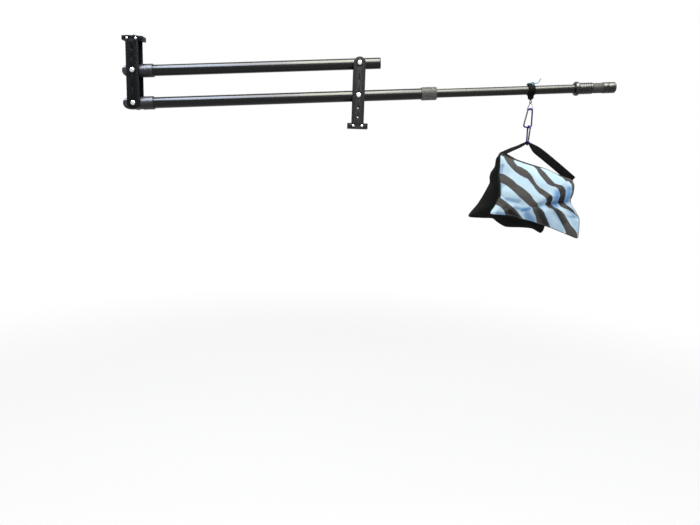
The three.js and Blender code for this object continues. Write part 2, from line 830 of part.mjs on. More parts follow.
function hookBand() {
  const half = hook.width / 2;
  const band = cylinder("x", hook.outer / 2, -half, half);
  const lugHalf = hook.lugWidth / 2;
  const lug = new THREE.Shape();
  lug.moveTo(lugHalf, 0);
  lug.absarc(0, lugHalf - hook.lugDrop, lugHalf, 0, -Math.PI, true);
  lug.lineTo(-lugHalf, 0);
  const bossRadius = hook.bossDiameter / 2;
  const boss = turned("z", [
    [0, 0],
    [0, bossRadius],
    [hook.bossTop - hook.bossEdge, bossRadius],
    [hook.bossTop, bossRadius - hook.bossEdge],
    [hook.bossTop, 0],
  ], roundSides.bore).translate(hook.bossPlace, 0, 0);
  const bore = cylinder("x", slideBore, -half - overrun, half + overrun);
  const grubRadius = hook.grubDiameter / 2 + seat;
  const grubHole = cylinder("z", grubRadius, 0, hook.bossTop + overrun, roundSides.hole)
    .translate(hook.bossPlace, 0, 0);
  const shankTop = eye.shankLength + seat - hook.lugDrop;
  const eyeHole = cylinder("z", eye.shank / 2 + seat, -hook.lugDrop - overrun, shankTop, roundSides.hole);
  const depth = hook.lugDepth / 2;
  return cut(join(band, sidePlate(lug, -depth, depth), boss), bore, grubHole, eyeHole);
}
add(hookCollar, "hook_collar", hookBand(), finishes.softBlack);

function hookGrub() {
  const top = hook.bossTop - seat;
  const body = cylinder("z", hook.grubDiameter / 2, slideBore, top, roundSides.hole);
  const socket = hexagon("z", hook.grubSocket, top - hook.grubSocketDepth, top + overrun);
  return cut(body, socket).translate(hook.bossPlace, 0, 0);
}
add(hookCollar, "hook_grub_screw", hookGrub(), finishes.darkSteel);

// A screw eye in the lug, turned about the upright
function screwEye() {
  const loop = new THREE.TorusGeometry(eye.radius, eye.wire / 2, roundSides.wire, roundSides.bore);
  loop.rotateX(Math.PI / 2).translate(0, 0, -eyeCentreDrop);
  const collarTop = -hook.lugDrop - seat;
  const collarFoot = collarTop - eye.collarHeight;
  const collar = cylinder("z", eye.collarDiameter / 2, collarFoot, collarTop, roundSides.hole);
  const shankTop = eye.shankLength - hook.lugDrop;
  const shank = cylinder("z", eye.shank / 2, eye.radius - eyeCentreDrop, shankTop, roundSides.hole);
  return join(loop, collar, shank).rotateZ(THREE.MathUtils.degToRad(eye.turn));
}
add(hookCollar, "hook_eye", screwEye(), finishes.silver);

// A cord tied round the boss, with its knot at the rear and a short tail
const tieHeight = hook.outer / 2 + seat + tie.diameter / 2;
const tieRadius = hook.bossDiameter / 2 + seat + tie.diameter / 2;
const knotPlace = hook.bossPlace + hook.bossDiameter / 2 + seat + tie.knotRadius;
const knotHeight = hook.outer / 2 + seat + tie.knotRadius;
function tiedCord() {
  const loop = new THREE.TorusGeometry(tieRadius, tie.diameter / 2, roundSides.thinWire, roundSides.bore);
  const knot = new THREE.IcosahedronGeometry(tie.knotRadius, 1);
  return join(loop.translate(hook.bossPlace, 0, tieHeight), knot.translate(knotPlace, 0, knotHeight));
}
add(hookCollar, "hook_cord_knot", tiedCord(), finishes.blueCord);

const tailCurve = new THREE.CatmullRomCurve3(tailRoute.map((point) => new THREE.Vector3(...point)));
const tailSteps = Math.round(tailCurve.getLength() / tie.tailStep);
const tail = wireAlong(tailCurve, tie.tailDiameter / 2, tailSteps);
add(hookCollar, "hook_cord_tail", tail, finishes.blueCord);

// Camera head

const head = groupAt(
  jib,
  -arm.length * Math.cos(arm.lean),
  0,
  bar.innerPivot - arm.length * Math.sin(arm.lean),
);
// A bar upside down: its outer pivot is the lower one here
const headFlip = (geometry) => geometry.rotateY(Math.PI).translate(0, 0, outerPivot);
for (const [name, side] of Object.entries(sides)) {
  add(head, `head_${name}_bar`, headFlip(sideBar(side)), finishes.satinBlack);
}
const platformTop = outerPivot;
const platformScrewHeight = outerPivot - bar.screwRow;
add(head, "camera_platform", spacerBlock(platform, platformTop - platform.height, platformScrewHeight, [
  [0, platform.screwHole],
  [platform.threadSpread / 2, platform.spareThread],
]), finishes.satinBlack);
addBlockScrews(head, "platform", platformScrewHeight);
addPivotHardware(head, "head_lower_pivot", 0);
addPivotHardware(head, "head_upper_pivot", bar.pivotPitch);

function cameraScrewSolid() {
  const underside = platformTop - platform.height - seat;
  const knobFoot = underside - cameraScrew.knobHeight;
  const knobRadius = cameraScrew.knobDiameter / 2;
  const knob = cylinder("z", knobRadius, knobFoot, underside, roundSides.grip);
  const studTop = platformTop + cameraScrew.studAbove;
  const stud = cylinder("z", cameraScrew.stud / 2, underside - overrun, studTop, roundSides.small);
  const flutes = [];
  for (let i = 0; i < cameraScrew.flutes; i++) {
    const angle = (2 * Math.PI * i) / cameraScrew.flutes;
    const radius = cameraScrew.fluteDiameter / 2;
    const flute = cylinder("z", radius, knobFoot - overrun, underside + seat, roundSides.thinWire);
    flutes.push(flute.translate(knobRadius * Math.cos(angle), knobRadius * Math.sin(angle), 0));
  }
  return join(cut(knob, ...flutes), stud);
}
const screwHolder = groupAt(head, 0, 0, 0);
add(screwHolder, "camera_screw", cameraScrewSolid(), finishes.darkSteel);

// Ring: a triangle bent from wire, drawn with the eye's wire at the origin

const hookMiddle = new THREE.Vector3(hook.place, 0, -eyeCentreDrop - eye.radius)
  .applyAxisAngle(new THREE.Vector3(0, 1, 0), -arm.lean)
  .add(new THREE.Vector3(0, 0, bar.innerPivot));

function triangleRing() {
  const apex = { x: 0, y: 0, r: eye.wire / 2 + seat + ring.slack + ring.wire / 2 };
  const reach = (ring.width - ring.wire) / 2 - ring.corner;
  const left = { x: -reach, y: ring.corner - ring.drop, r: ring.corner };
  const right = { x: reach, y: ring.corner - ring.drop, r: ring.corner };
  const down = beltRun(apex, left);
  const up = beltRun(right, apex);
  const path = new THREE.Path();
  path.moveTo(ring.joint / 2, -ring.drop);
  path.lineTo(reach, -ring.drop);
  path.absarc(right.x, right.y, right.r, -Math.PI / 2, up.normal);
  path.absarc(apex.x, apex.y, apex.r, up.normal, down.normal + 2 * Math.PI);
  path.absarc(left.x, left.y, left.r, down.normal, -Math.PI / 2);
  path.lineTo(-ring.joint / 2, -ring.drop);
  const bent = new BentWire(path);
  return wireAlong(bent, ring.wire / 2, bent.steps, roundSides.thinWire);
}
const ringHolder = groupAt(jib, ...hookMiddle.toArray(), 0, THREE.MathUtils.degToRad(ring.turn));
add(ringHolder, "triangle_ring", triangleRing(), finishes.silver);

// Carabiners: drawn with the narrow bend about the origin, the spine at +X, the gate at -X

const wire = carabiner.wire / 2;
const narrow = { x: 0, y: 0, r: carabiner.narrowRadius };
const spine = carabiner.narrowRadius;
const spineBend = {
  x: spine - carabiner.spineCorner,
  y: narrow.r + carabiner.spineCorner - (carabiner.length - carabiner.wire),
  r: carabiner.spineCorner,
};
const gateBend = {
  x: spine - (carabiner.width - carabiner.wire) + carabiner.gateCorner,
  y: spineBend.y - spineBend.r + carabiner.gateCorner + carabiner.gateCornerRise,
  r: carabiner.gateCorner,
};
const gateRun = beltRun(narrow, gateBend);
const gateLine = new THREE.Vector2().subVectors(gateRun.end, gateRun.start);
const gateRunLength = gateLine.length();
gateLine.normalize();
const gatePoint = (distance) => gateRun.start.clone().addScaledVector(gateLine, distance);
const frameStop = carabiner.frontStub;
const frameStart = gateRunLength - carabiner.rearStub;
const gateRadius = carabiner.gateWire / 2;
const pinPlace = frameStop + carabiner.gateGap + gateRadius;
const gateTilt = Math.atan2(gateLine.y, gateLine.x);

// A plate in the loop's own plane, along the gate's line, as thick as asked
function gatePlate(from, to, halfWidth, thickness, roundStart) {
  const shape = new THREE.Shape();
  if (roundStart) shape.absarc(from + halfWidth, 0, halfWidth, Math.PI / 2, 1.5 * Math.PI);
  else {
    shape.moveTo(from, halfWidth);
    shape.lineTo(from, -halfWidth);
  }
  shape.lineTo(to, -halfWidth);
  shape.lineTo(to, halfWidth);
  const plate = sidePlate(shape, -thickness / 2, thickness / 2);
  return plate.rotateY(-gateTilt).translate(gateRun.start.x, 0, gateRun.start.y);
}

function carabinerFrame() {
  const bottom = beltRun(gateBend, spineBend);
  const side = beltRun(spineBend, narrow);
  const path = new THREE.Path();
  const from = gatePoint(frameStart);
  const to = gatePoint(frameStop);
  path.moveTo(from.x, from.y);
  path.absarc(gateBend.x, gateBend.y, gateBend.r, gateRun.normal, bottom.normal);
  path.absarc(spineBend.x, spineBend.y, spineBend.r, bottom.normal, side.normal);
  path.absarc(narrow.x, narrow.y, narrow.r, side.normal, gateRun.normal + 2 * Math.PI);
  path.lineTo(to.x, to.y);
  const bent = new BentWire(path);
  const loop = wireAlong(bent, wire, bent.steps);
  const { tongue, tongueLength, tongueWidth } = carabiner;
  const hingeTongue = gatePlate(frameStop - wire, frameStop + tongueLength, tongueWidth / 2, tongue);
  const noseTongue = gatePlate(frameStart - tongueLength, frameStart + wire, tongueWidth / 2, tongue);
  const pinHole = gatePin(carabiner.pin / 2 + seat, carabiner.wire);
  return cut(join(loop, hingeTongue, noseTongue), pinHole);
}

function gatePin(radius, length) {
  const place = gatePoint(pinPlace);
  return cylinder("y", radius, -length / 2, length / 2, roundSides.hole).translate(place.x, 0, place.y);
}

function carabinerGate() {
  const from = frameStop + carabiner.gateGap;
  const to = frameStart - carabiner.gateGap;
  const rod = cylinder("x", gateRadius, from - overrun, to, roundSides.hole);
  rod.rotateY(-gateTilt).translate(gateRun.start.x, 0, gateRun.start.y);
  const rounded = common(rod, gatePlate(from, to + overrun, gateRadius, 2 * carabiner.wire, true));
  const slot = carabiner.tongue + 2 * seat;
  const hingeSlot = gatePlate(from - overrun, from + carabiner.slotDepth, carabiner.wire, slot);
  const noseSlot = gatePlate(to - carabiner.slotDepth, to + overrun, carabiner.wire, slot);
  return cut(rounded, hingeSlot, noseSlot, gatePin(carabiner.pin / 2 + seat, 2 * carabiner.wire));
}

// Places inside the loop where a neighbour's wire rests, for a neighbour of some radius
const narrowRest = (radius) => new THREE.Vector2(narrow.x, narrow.r - wire - seat - radius);
const wideRest = (radius) =>
  new THREE.Vector2(spineBend.x, spineBend.y - spineBend.r + wire + seat + radius);

// Hangs a carabiner at a place, from one rest, with the other straight below it
function hangCarabiner(place, top, foot, turn, name) {
  const drop = new THREE.Vector2().subVectors(foot, top);
  const tilt = Math.atan2(drop.x, -drop.y);
  const holder = groupAt(jib, ...place.toArray(), tilt, THREE.MathUtils.degToRad(turn));
  const loop = groupAt(holder, -top.x, 0, -top.y);
  add(loop, `${name}_carabiner_frame`, carabinerFrame(), finishes.royalBlue);
  add(loop, `${name}_carabiner_pin`, gatePin(carabiner.pin / 2, carabiner.gateWire - seat), finishes.silver);
  add(loop, `${name}_carabiner_gate`, carabinerGate(), finishes.silver);
  return new THREE.Vector3(place.x, place.y, place.z - drop.length());
}

const upperHang = hookMiddle.clone().add(new THREE.Vector3(0, 0, -ring.drop));
const wideWire = new THREE.Vector2(spineBend.x, spineBend.y - spineBend.r);
const narrowWire = new THREE.Vector2(narrow.x, narrow.r);
const lowerHang = hangCarabiner(upperHang, narrowRest(ring.wire / 2), wideWire, upperTurn, "upper");
const bagHang = hangCarabiner(lowerHang, wideRest(wire), narrowWire, lowerTurn, "lower");

// Saddle bag, drawn from the lower carabiner's foot, which its handle hangs on

const bagHolder = groupAt(jib, ...bagHang.toArray());
const bagPlace = ([across, up]) => new THREE.Vector2(across * bag.width, up * bag.height);

// A filled pouch: rings of its outline, drawn in towards its middle as it swells
function pouch(outlineShares, middleShares, belly, side) {
  const outline = outlineShares.map(bagPlace);
  if (!THREE.ShapeUtils.isClockWise(outline)) outline.reverse();
  const middle = bagPlace(middleShares);
  const edgeOut = bag.panelWidth / 2 + seat + bag.hem / 2;
  const halfThickness = (share) =>
    bag.hem / 2 + (belly / 2 - bag.hem / 2) * Math.sqrt(1 - share * share);
  const layers = pouchLayerShares.map((share) => [share, -halfThickness(share)]);
  for (const share of [...pouchLayerShares].reverse()) layers.push([share, halfThickness(share)]);
  return loft(layers.map(([share, swell]) => outline.map((point) => {
    const place = point.clone().sub(middle).multiplyScalar(share).add(middle);
    const out = edgeOut - (bag.splay * place.y) / bag.height;
    return new THREE.Vector3(place.x, side * out + swell, place.y);
  })));
}

// The panel that both pouches are sewn to, grown on all sides by a clearance
function saddlePanel(growth) {
  const [front, rear] = panelEndShares.map(bagPlace);
  const length = front.distanceTo(rear) + 2 * growth;
  const thickness = bag.panelThickness + 2 * growth;
  const slab = new THREE.BoxGeometry(length, bag.panelWidth + 2 * growth, thickness);
  slab.rotateY(-Math.atan2(rear.y - front.y, rear.x - front.x));
  return slab.translate((front.x + rear.x) / 2, 0, (front.y + rear.y) / 2 - bag.panelThickness / 2);
}

// The webbing handle: gathered to a round neck over the carabiner's wire, flat on both sides of it
function handleStrap() {
  const neckReach = wire + seat + bag.neckRadius;
  const run = ({ place, twist, flat }) => ({
    centre: bagPlace(place),
    twist: THREE.MathUtils.degToRad(twist),
    halfWidth: THREE.MathUtils.lerp(bag.neckRadius, bag.strapWidth / 2, flat),
    halfThickness: THREE.MathUtils.lerp(bag.neckRadius, bag.strapThickness / 2, flat),
    flat,
  });
  const neck = [];
  const [leftEnd, rightEnd] = neckSpreadDegrees.map(THREE.MathUtils.degToRad);
  for (let i = 0; i <= bag.neckSteps; i++) {
    const angle = Math.PI / 2 + leftEnd + ((rightEnd - leftEnd) * i) / bag.neckSteps;
    neck.push({
      centre: new THREE.Vector2(neckReach * Math.cos(angle), neckReach * Math.sin(angle)),
      twist: 0,
      halfWidth: bag.neckRadius,
      halfThickness: bag.neckRadius,
      flat: 0,
    });
  }
  const stations = [...leftStrapShares.map(run).reverse(), ...neck, ...rightStrapShares.map(run)];
  return loft(stations.map((station, i) => {
    const before = stations[Math.max(i - 1, 0)].centre;
    const after = stations[Math.min(i + 1, stations.length - 1)].centre;
    const heading = Math.atan2(after.y - before.y, after.x - before.x);
    const along = new THREE.Vector3(Math.cos(heading), 0, Math.sin(heading));
    const across = new THREE.Vector3(0, 1, 0).applyAxisAngle(along, station.twist);
    const through = new THREE.Vector3().crossVectors(along, across);
    const power = 1 - bag.squareness * station.flat;
    const shaped = (value) => Math.sign(value) * Math.abs(value) ** power;
    const ringPoints = [];
    for (let k = 0; k < bag.strapSides; k++) {
      const angle = (2 * Math.PI * k) / bag.strapSides;
      ringPoints.push(new THREE.Vector3(station.centre.x, 0, station.centre.y)
        .addScaledVector(across, station.halfWidth * shaped(Math.cos(angle)))
        .addScaledVector(through, station.halfThickness * shaped(Math.sin(angle))));
    }
    return ringPoints;
  }));
}

const panelSeat = saddlePanel(seat);
const nearPouch = pouch(nearOutlineShares, nearMiddleShares, bag.nearBelly, sides.near);
const farPouch = pouch(farOutlineShares, farMiddleShares, bag.farBelly, sides.far);
add(bagHolder, "bag_near_pouch", cut(nearPouch, panelSeat), finishes.skyCloth);
add(bagHolder, "bag_far_pouch", cut(farPouch, panelSeat), finishes.blackCloth);
add(bagHolder, "bag_saddle_panel", saddlePanel(0), finishes.blackCloth);
add(bagHolder, "bag_handle_strap", cut(handleStrap(), panelSeat), finishes.blackCloth);

export default jib;
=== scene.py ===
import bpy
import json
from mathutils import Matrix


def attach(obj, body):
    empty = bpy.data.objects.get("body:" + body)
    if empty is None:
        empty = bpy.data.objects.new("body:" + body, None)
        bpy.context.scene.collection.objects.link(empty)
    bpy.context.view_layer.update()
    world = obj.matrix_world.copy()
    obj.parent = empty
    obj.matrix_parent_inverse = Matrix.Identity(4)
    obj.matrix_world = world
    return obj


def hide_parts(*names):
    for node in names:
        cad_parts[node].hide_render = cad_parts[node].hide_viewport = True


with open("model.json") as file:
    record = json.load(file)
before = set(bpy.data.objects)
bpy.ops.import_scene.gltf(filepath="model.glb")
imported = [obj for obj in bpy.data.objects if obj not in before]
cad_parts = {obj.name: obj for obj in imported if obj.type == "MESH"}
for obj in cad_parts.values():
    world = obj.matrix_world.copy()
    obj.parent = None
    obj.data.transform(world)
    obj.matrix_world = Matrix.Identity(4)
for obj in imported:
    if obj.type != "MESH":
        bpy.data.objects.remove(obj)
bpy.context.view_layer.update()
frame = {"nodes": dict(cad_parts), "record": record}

# Camera jib crane: the looks of each piece, drawn in millimetres about its own place and put
# where the CAD has it. X runs along the arm towards the bag, Y away from the camera, Z up.

import json
import math

import bmesh
import bpy
import numpy as np
from mathutils import Matrix, Vector

scene = bpy.context.scene
MM = 0.001
SEAT = 0.3  # gap between a piece and the piece that seats it
NEARLY_NONE = 1e-6
FULL_TURN = 2 * math.pi

# Sizes that the CAD has too
BAR = {"width": 35, "thick": 4, "between": 40, "inner_pivot": 95, "pitch": 91, "edge": 0.45}
BAR_HOLES = {"bolt": 4.3, "spare": 3.25, "screw": 2.3, "low": 34, "high": 60.5, "row": 8,
             "spread": 12.5}
BLOCK = {"length": 60, "depth": 39.4, "corner": 4, "base": 16, "platform": 12, "edge": 0.6}
COLLAR = {"place": 513, "bore": 13, "radius": 15.5, "length": 20, "lug": 7.5, "lug_foot": 27.5,
          "lug_thick": 11, "boss_place": -4.5, "boss": 5.5, "boss_top": 21, "grub_bore": 2.8,
          "eye_bore": 1.8, "eye_top": 19.2}
GRIP = {"bore": 13, "front": 655, "band": 697, "band_radius": 14.8, "cap": 728, "cap_radius": 16,
        "end": 765.5, "root": 15.3, "crest": 16.7, "ribs": 6, "pitch": 7}
ARM = {"length": 652, "lean": math.radians(3.925), "radius": 16, "bore": 14.5}
FACE = BAR["between"] / 2 + BAR["thick"] + SEAT  # where a fastener's head sits, from the middle
LOWER_PIVOT = BAR["inner_pivot"]
UPPER_PIVOT = LOWER_PIVOT + BAR["pitch"]

# Frames that the pieces are drawn in
ALONG_ARM = Matrix.Rotation(-ARM["lean"], 4, "Y")
COLUMN = Matrix.Identity(4)
LOWER_ARM = Matrix.Translation((0, 0, LOWER_PIVOT)) @ ALONG_ARM
UPPER_ARM = Matrix.Translation((0, 0, UPPER_PIVOT)) @ ALONG_ARM
HEAD = Matrix.Translation(LOWER_ARM @ Vector((-ARM["length"], 0, 0)))
HOOK = LOWER_ARM @ Matrix.Translation((COLLAR["place"], 0, 0))


# Nodes and finishes

def linear(code):
    """An sRGB hex colour as the linear values that a shader takes."""
    parts = [int(code[i:i + 2], 16) / 255 for i in (1, 3, 5)]
    return [c / 12.92 if c <= 0.04045 else ((c + 0.055) / 1.055) ** 2.4 for c in parts] + [1.0]


def add(tree, kind, settings=None, inputs=None):
    """Adds a node with its settings; an input is a value, the socket that feeds it, or a node
    whose first output feeds it."""
    made = tree.nodes.new(kind)
    for key, value in (settings or {}).items():
        setattr(made, key, value)
    for key, value in (inputs or {}).items():
        value = value.outputs[0] if isinstance(value, bpy.types.Node) else value
        if isinstance(value, bpy.types.NodeSocket):
            tree.links.new(value, made.inputs[key])
        else:
            made.inputs[key].default_value = value
    return made


def repeats(size):
    """A pattern's scale, in repeats a metre, from its real size in millimetres."""
    return 1 / (size * MM)


def bare_tree(data):
    """The emptied node tree of a new material or world."""
    data.use_nodes = True
    data.node_tree.nodes.clear()
    return data.node_tree


def finish(slot, name, dark, light, patch, rough, grain, height, shine=0.5, metal=0.0, sheen=0.0,
           stretch=(1, 1, 1), turn=(0, 0, 0)):
    """A finish: two tones that drift over patches of some size, a roughness that drifts between
    two values, and a fine grain of some size and height in millimetres, stretched along an axis."""
    made = bpy.data.materials.new(name)
    tree = bare_tree(made)
    place = add(tree, "ShaderNodeMapping", {"vector_type": "TEXTURE"}, {
        "Vector": add(tree, "ShaderNodeTexCoord").outputs["Object"],
        "Rotation": turn, "Scale": stretch})
    drift = add(tree, "ShaderNodeTexNoise", {}, {
        "Vector": place, "Scale": repeats(patch), "Detail": 4.0, "Roughness": 0.6})
    tone = add(tree, "ShaderNodeMix", {"data_type": "RGBA"}, {
        "Factor": drift, 6: linear(dark), 7: linear(light)})
    gloss = add(tree, "ShaderNodeMapRange", {}, {
        "Value": drift, "From Min": 0.3, "From Max": 0.7, "To Min": rough[0], "To Max": rough[1]})
    fine = add(tree, "ShaderNodeTexNoise", {}, {
        "Vector": place, "Scale": repeats(grain), "Detail": 2.0})
    relief = add(tree, "ShaderNodeBump", {}, {
        "Height": fine, "Strength": 1.0, "Distance": height * MM})
    skin = add(tree, "ShaderNodeBsdfPrincipled", {}, {
        "Base Color": tone.outputs[2], "Roughness": gloss, "Normal": relief,
        "Specular IOR Level": shine, "Metallic": metal, "Sheen Weight": sheen})
    add(tree, "ShaderNodeOutputMaterial", {}, {"Surface": skin})
    return made


def skin_of(material):
    return next(n for n in material.node_tree.nodes if n.type == "BSDF_PRINCIPLED")


def fed_by(material, key):
    """The socket that feeds an input of a material's skin."""
    return skin_of(material).inputs[key].links[0].from_socket


def feed(material, key, socket):
    material.node_tree.links.new(socket, skin_of(material).inputs[key])


# Lines from the drawing die run along the arm, so their pattern is turned to its lean
DRAWN_LINES = {"stretch": (50, 1, 1), "turn": (0, -ARM["lean"], 0)}

# Aluminium bar and plate, bead blasted and black anodised: a soft even sheen over fine grit
# (the real 0.1 mm grit is drawn at 0.6 mm so that it shows)
BLASTED_ALUMINIUM = finish(
    "satin_black", "black anodised blasted aluminium", "#292928", "#2f2f2e", 26, (0.42, 0.54),
    0.6, 0.008, shine=0.05)
# The same bar and finish, darkened as painted shade for the head: nearly black
SHADE_PAINTED_ALUMINIUM = finish(
    "satin_black", "black anodised aluminium, darker as painted shade", "#0f1011", "#141517", 26, (0.36, 0.48),
    0.6, 0.008, shine=0.04)
# Drawn aluminium tube, black anodised and polished: a sharp bright reflection along its length,
# with faint lines from the drawing die
POLISHED_TUBE = finish(
    "gloss_black", "gloss black drawn aluminium tube", "#08090a", "#0e0f10", 60, (0.15, 0.2),
    1.2, 0.0008, shine=0.22, **DRAWN_LINES)
# The sliding tube has the same skin, rubbed duller and paler by the collar that runs on it
RUBBED_TUBE = finish(
    "gloss_black", "rubbed black drawn aluminium tube", "#0d0d0c", "#141412", 45, (0.22, 0.28),
    1.2, 0.0015, shine=0.22, **DRAWN_LINES)
# Die-cast end fittings, shot blasted and anodised: rounder, slightly bluish satin black
CAST_FITTING = finish(
    "satin_black", "black anodised cast aluminium", "#121316", "#191a1f", 18, (0.34, 0.4),
    1, 0.002, shine=0.3)
# Zinc-plated steel screws and nuts: bright, with the plating's faint cloudiness
ZINC_STEEL = finish(
    "steel", "zinc-plated steel", "#a4a6a8", "#cfd0d3", 5, (0.2, 0.34), 0.5, 0.004, metal=1.0)
# Nickel-plated bent wire, dulled by use: a dark grey metal, a little warm
NICKEL_WIRE = finish(
    "chrome", "nickel-plated steel wire", "#323330", "#464743", 7, (0.4, 0.52), 0.6, 0.003,
    metal=1.0)
# Black oxide on turned steel: dark, oily metal
BLACK_OXIDE = finish(
    "dark_steel", "black oxide steel", "#2c2d2f", "#3f4043", 6, (0.28, 0.42), 0.5, 0.006, metal=1.0)
# Aluminium carabiner, tumbled and dyed blue: deep colour that flashes violet in the light
BLUE_ANODISED = finish(
    "blue_anodised", "blue anodised aluminium", "#0e124a", "#161b62", 9, (0.42, 0.52), 0.6, 0.004,
    shine=0.2, metal=0.6)
# Nylon 6 turned on a lathe: dull black with faint rings
TURNED_NYLON = finish(
    "nylon", "black turned nylon", "#171718", "#1f1f20", 8, (0.45, 0.6), 0.6, 0.01, shine=0.3)
# Glass-filled nylon, moulded: black with a fine leathery spark texture (0.3 mm, drawn at 0.8)
MOULDED_NYLON = finish(
    "black_plastic", "black moulded nylon", "#0c0c0c", "#131313", 12, (0.6, 0.7), 0.8, 0.012,
    shine=0.015)
# ABS, moulded mid grey with the same spark texture
GREY_ABS = finish(
    "grey_plastic", "grey moulded ABS", "#535451", "#5c5d5a", 15, (0.42, 0.56), 0.8, 0.005,
    shine=0.06)
# Synthetic rubber from a polished mould: black with bright tops to its ribs
GLOSSY_RUBBER = finish(
    "grip_rubber", "black moulded rubber", "#080808", "#0e0e0d", 10, (0.22, 0.32), 1.2, 0.004,
    shine=0.34)
# The same rubber ground back to a bare band: paler, dull grey
GROUND_RUBBER = finish(
    "grip_rubber", "grey ground rubber", "#343432", "#3e3e3b", 6, (0.5, 0.66), 0.7, 0.008,
    shine=0.14)
# Braided polyester cord: light and dark blue strands that cross every 1.6 mm along it, drawn on
# the cord's own coordinates, with painted shade in the hollows between the strands
STRAND = 1.6
BRAIDED_CORD = finish(
    "blue_cord", "braided blue cord", "#2377a8", "#4a9fcb", 4, (0.7, 0.85), 0.6, 0.03, shine=0.25)
# The knot and the turns round the boss are the same cord: the knot in its light tone, the turns in
# navy as painted shade
KNOT_CORD = finish(
    "blue_cord", "knotted blue cord", "#2a7f9f", "#58aac6", 5, (0.7, 0.85), 0.8, 0.08, shine=0.25)
PAINTED_SHADE_CORD = finish(
    "blue_cord", "navy cord as painted shade on the turns", "#10303f", "#1d4a5e", 5, (0.7, 0.85), 0.8, 0.08, shine=0.2)
# Polyester cloth, plain weave: pale blue printed with dark brownish grey stripes; its threads
# (0.4 mm, drawn at 1.4 mm so that they show) soften the light
STRIPED_CLOTH = finish(
    "sky_cloth", "striped blue polyester cloth", "#cae8f8", "#d7f0fb", 60, (0.8, 0.92), 3, 0.05,
    shine=0.05, sheen=0.04)
# The same cloth dyed black, for the far pouch and the panel
BLACK_CLOTH = finish(
    "black_cloth", "black polyester cloth", "#101010", "#171718", 50, (0.8, 0.92), 3, 0.05,
    shine=0.05, sheen=0.02)
# Nylon webbing: thick ribs along it, closely crossed
WEBBING = finish(
    "black_cloth", "black nylon webbing", "#0c0c0c", "#131312", 30, (0.66, 0.8), 2, 0.04,
    shine=0.02)
# Folded binding tape and sewing thread
BINDING_TAPE = finish(
    "black_cloth", "black binding tape", "#121212", "#1a1a1a", 20, (0.6, 0.75), 1.2, 0.06,
    shine=0.04)
GREY_THREAD = finish(
    "sky_cloth", "grey bonded thread", "#6d6f72", "#85878a", 8, (0.5, 0.65), 0.6, 0.02, shine=0.3)
BLACK_THREAD = finish(
    "black_cloth", "black bonded thread", "#2a2a2b", "#38383a", 8, (0.5, 0.65), 0.6, 0.02,
    shine=0.3)


def braid(material):
    """Strands that cross along the cord's own coordinates: its turns and its length."""
    tree = material.node_tree
    place = add(tree, "ShaderNodeSeparateXYZ", {}, {
        0: add(tree, "ShaderNodeUVMap", {"uv_map": "along"})}).outputs
    along = add(tree, "ShaderNodeMath", {"operation": "MULTIPLY"}, {
        0: place["Y"], 1: FULL_TURN / STRAND})
    waves = []
    for turns in (4, -4):
        both = add(tree, "ShaderNodeMath", {"operation": "MULTIPLY_ADD"}, {
            0: place["X"], 1: turns * FULL_TURN, 2: along})
        waves.append(add(tree, "ShaderNodeMath", {"operation": "SINE"}, {0: both}))
    crossing = add(tree, "ShaderNodeMath", {"operation": "MAXIMUM"}, {0: waves[0], 1: waves[1]})
    # The tail fades from light blue near the knot to navy at its end
    far = add(tree, "ShaderNodeMapRange", {"interpolation_type": "SMOOTHSTEP"}, {
        "Value": place["Y"], "From Min": 14.0, "From Max": 20.0, "To Min": 0.0, "To Max": 0.9})
    tone = add(tree, "ShaderNodeMix", {"data_type": "RGBA"}, {
        "Factor": far, 6: fed_by(material, "Base Color"), 7: linear("#1c2c66")})
    # Painted shade: the hollows between the strands are darkened towards #123a5a
    painted_hollow_shade = add(tree, "ShaderNodeMapRange", {}, {
        "Value": crossing, "From Min": -0.5, "From Max": 1.0, "To Min": 0.35, "To Max": 0.0})
    shaded = add(tree, "ShaderNodeMix", {"data_type": "RGBA"}, {
        "Factor": painted_hollow_shade, 6: tone.outputs[2], 7: linear("#123a5a")})
    relief = add(tree, "ShaderNodeBump", {}, {
        "Height": crossing, "Strength": 0.8, "Distance": 0.25 * MM})
    feed(material, "Base Color", shaded.outputs[2])
    feed(material, "Normal", relief.outputs[0])


def weave(material, warp, weft, depth):
    """Crossed threads, from the cloth's own coordinates in millimetres."""
    tree = material.node_tree
    place = add(tree, "ShaderNodeSeparateXYZ", {}, {
        0: add(tree, "ShaderNodeUVMap", {"uv_map": "along"})}).outputs
    waves = []
    for axis, pitch in (("X", warp), ("Y", weft)):
        turns = add(tree, "ShaderNodeMath", {"operation": "MULTIPLY"}, {
            0: place[axis], 1: FULL_TURN / pitch})
        waves.append(add(tree, "ShaderNodeMath", {"operation": "SINE"}, {0: turns}))
    crossed = add(tree, "ShaderNodeMath", {"operation": "MULTIPLY"}, {0: waves[0], 1: waves[1]})
    relief = add(tree, "ShaderNodeBump", {}, {
        "Height": crossed, "Strength": 1.0, "Distance": depth * MM,
        "Normal": fed_by(material, "Normal")})
    feed(material, "Normal", relief.outputs[0])


def stripes(material, painted_shade_colour, *prints):
    """Dark print and folded tape where their outlines say. Cloth, print and tape are darkened
    towards deeper tones by a point attribute, as painted shade in the folds.
    """
    tree = material.node_tree
    painted_shade = add(tree, "ShaderNodeAttribute", {"attribute_name": "painted_shade"}).outputs["Fac"]
    tone = add(tree, "ShaderNodeMix", {"data_type": "RGBA"}, {
        "Factor": painted_shade, 6: fed_by(material, "Base Color"), 7: linear(painted_shade_colour)})
    for name, colour, print_in_painted_shade, soft in prints:
        depth = add(tree, "ShaderNodeAttribute", {"attribute_name": name}).outputs["Fac"]
        share = add(tree, "ShaderNodeMapRange", {"interpolation_type": "SMOOTHSTEP"}, {
            "Value": depth, "From Min": -soft, "From Max": soft})
        printed = add(tree, "ShaderNodeMix", {"data_type": "RGBA"}, {
            "Factor": painted_shade, 6: linear(colour), 7: linear(print_in_painted_shade)})
        tone = add(tree, "ShaderNodeMix", {"data_type": "RGBA"}, {
            "Factor": share, 6: tone.outputs[2], 7: printed.outputs[2]})
    feed(material, "Base Color", tone.outputs[2])


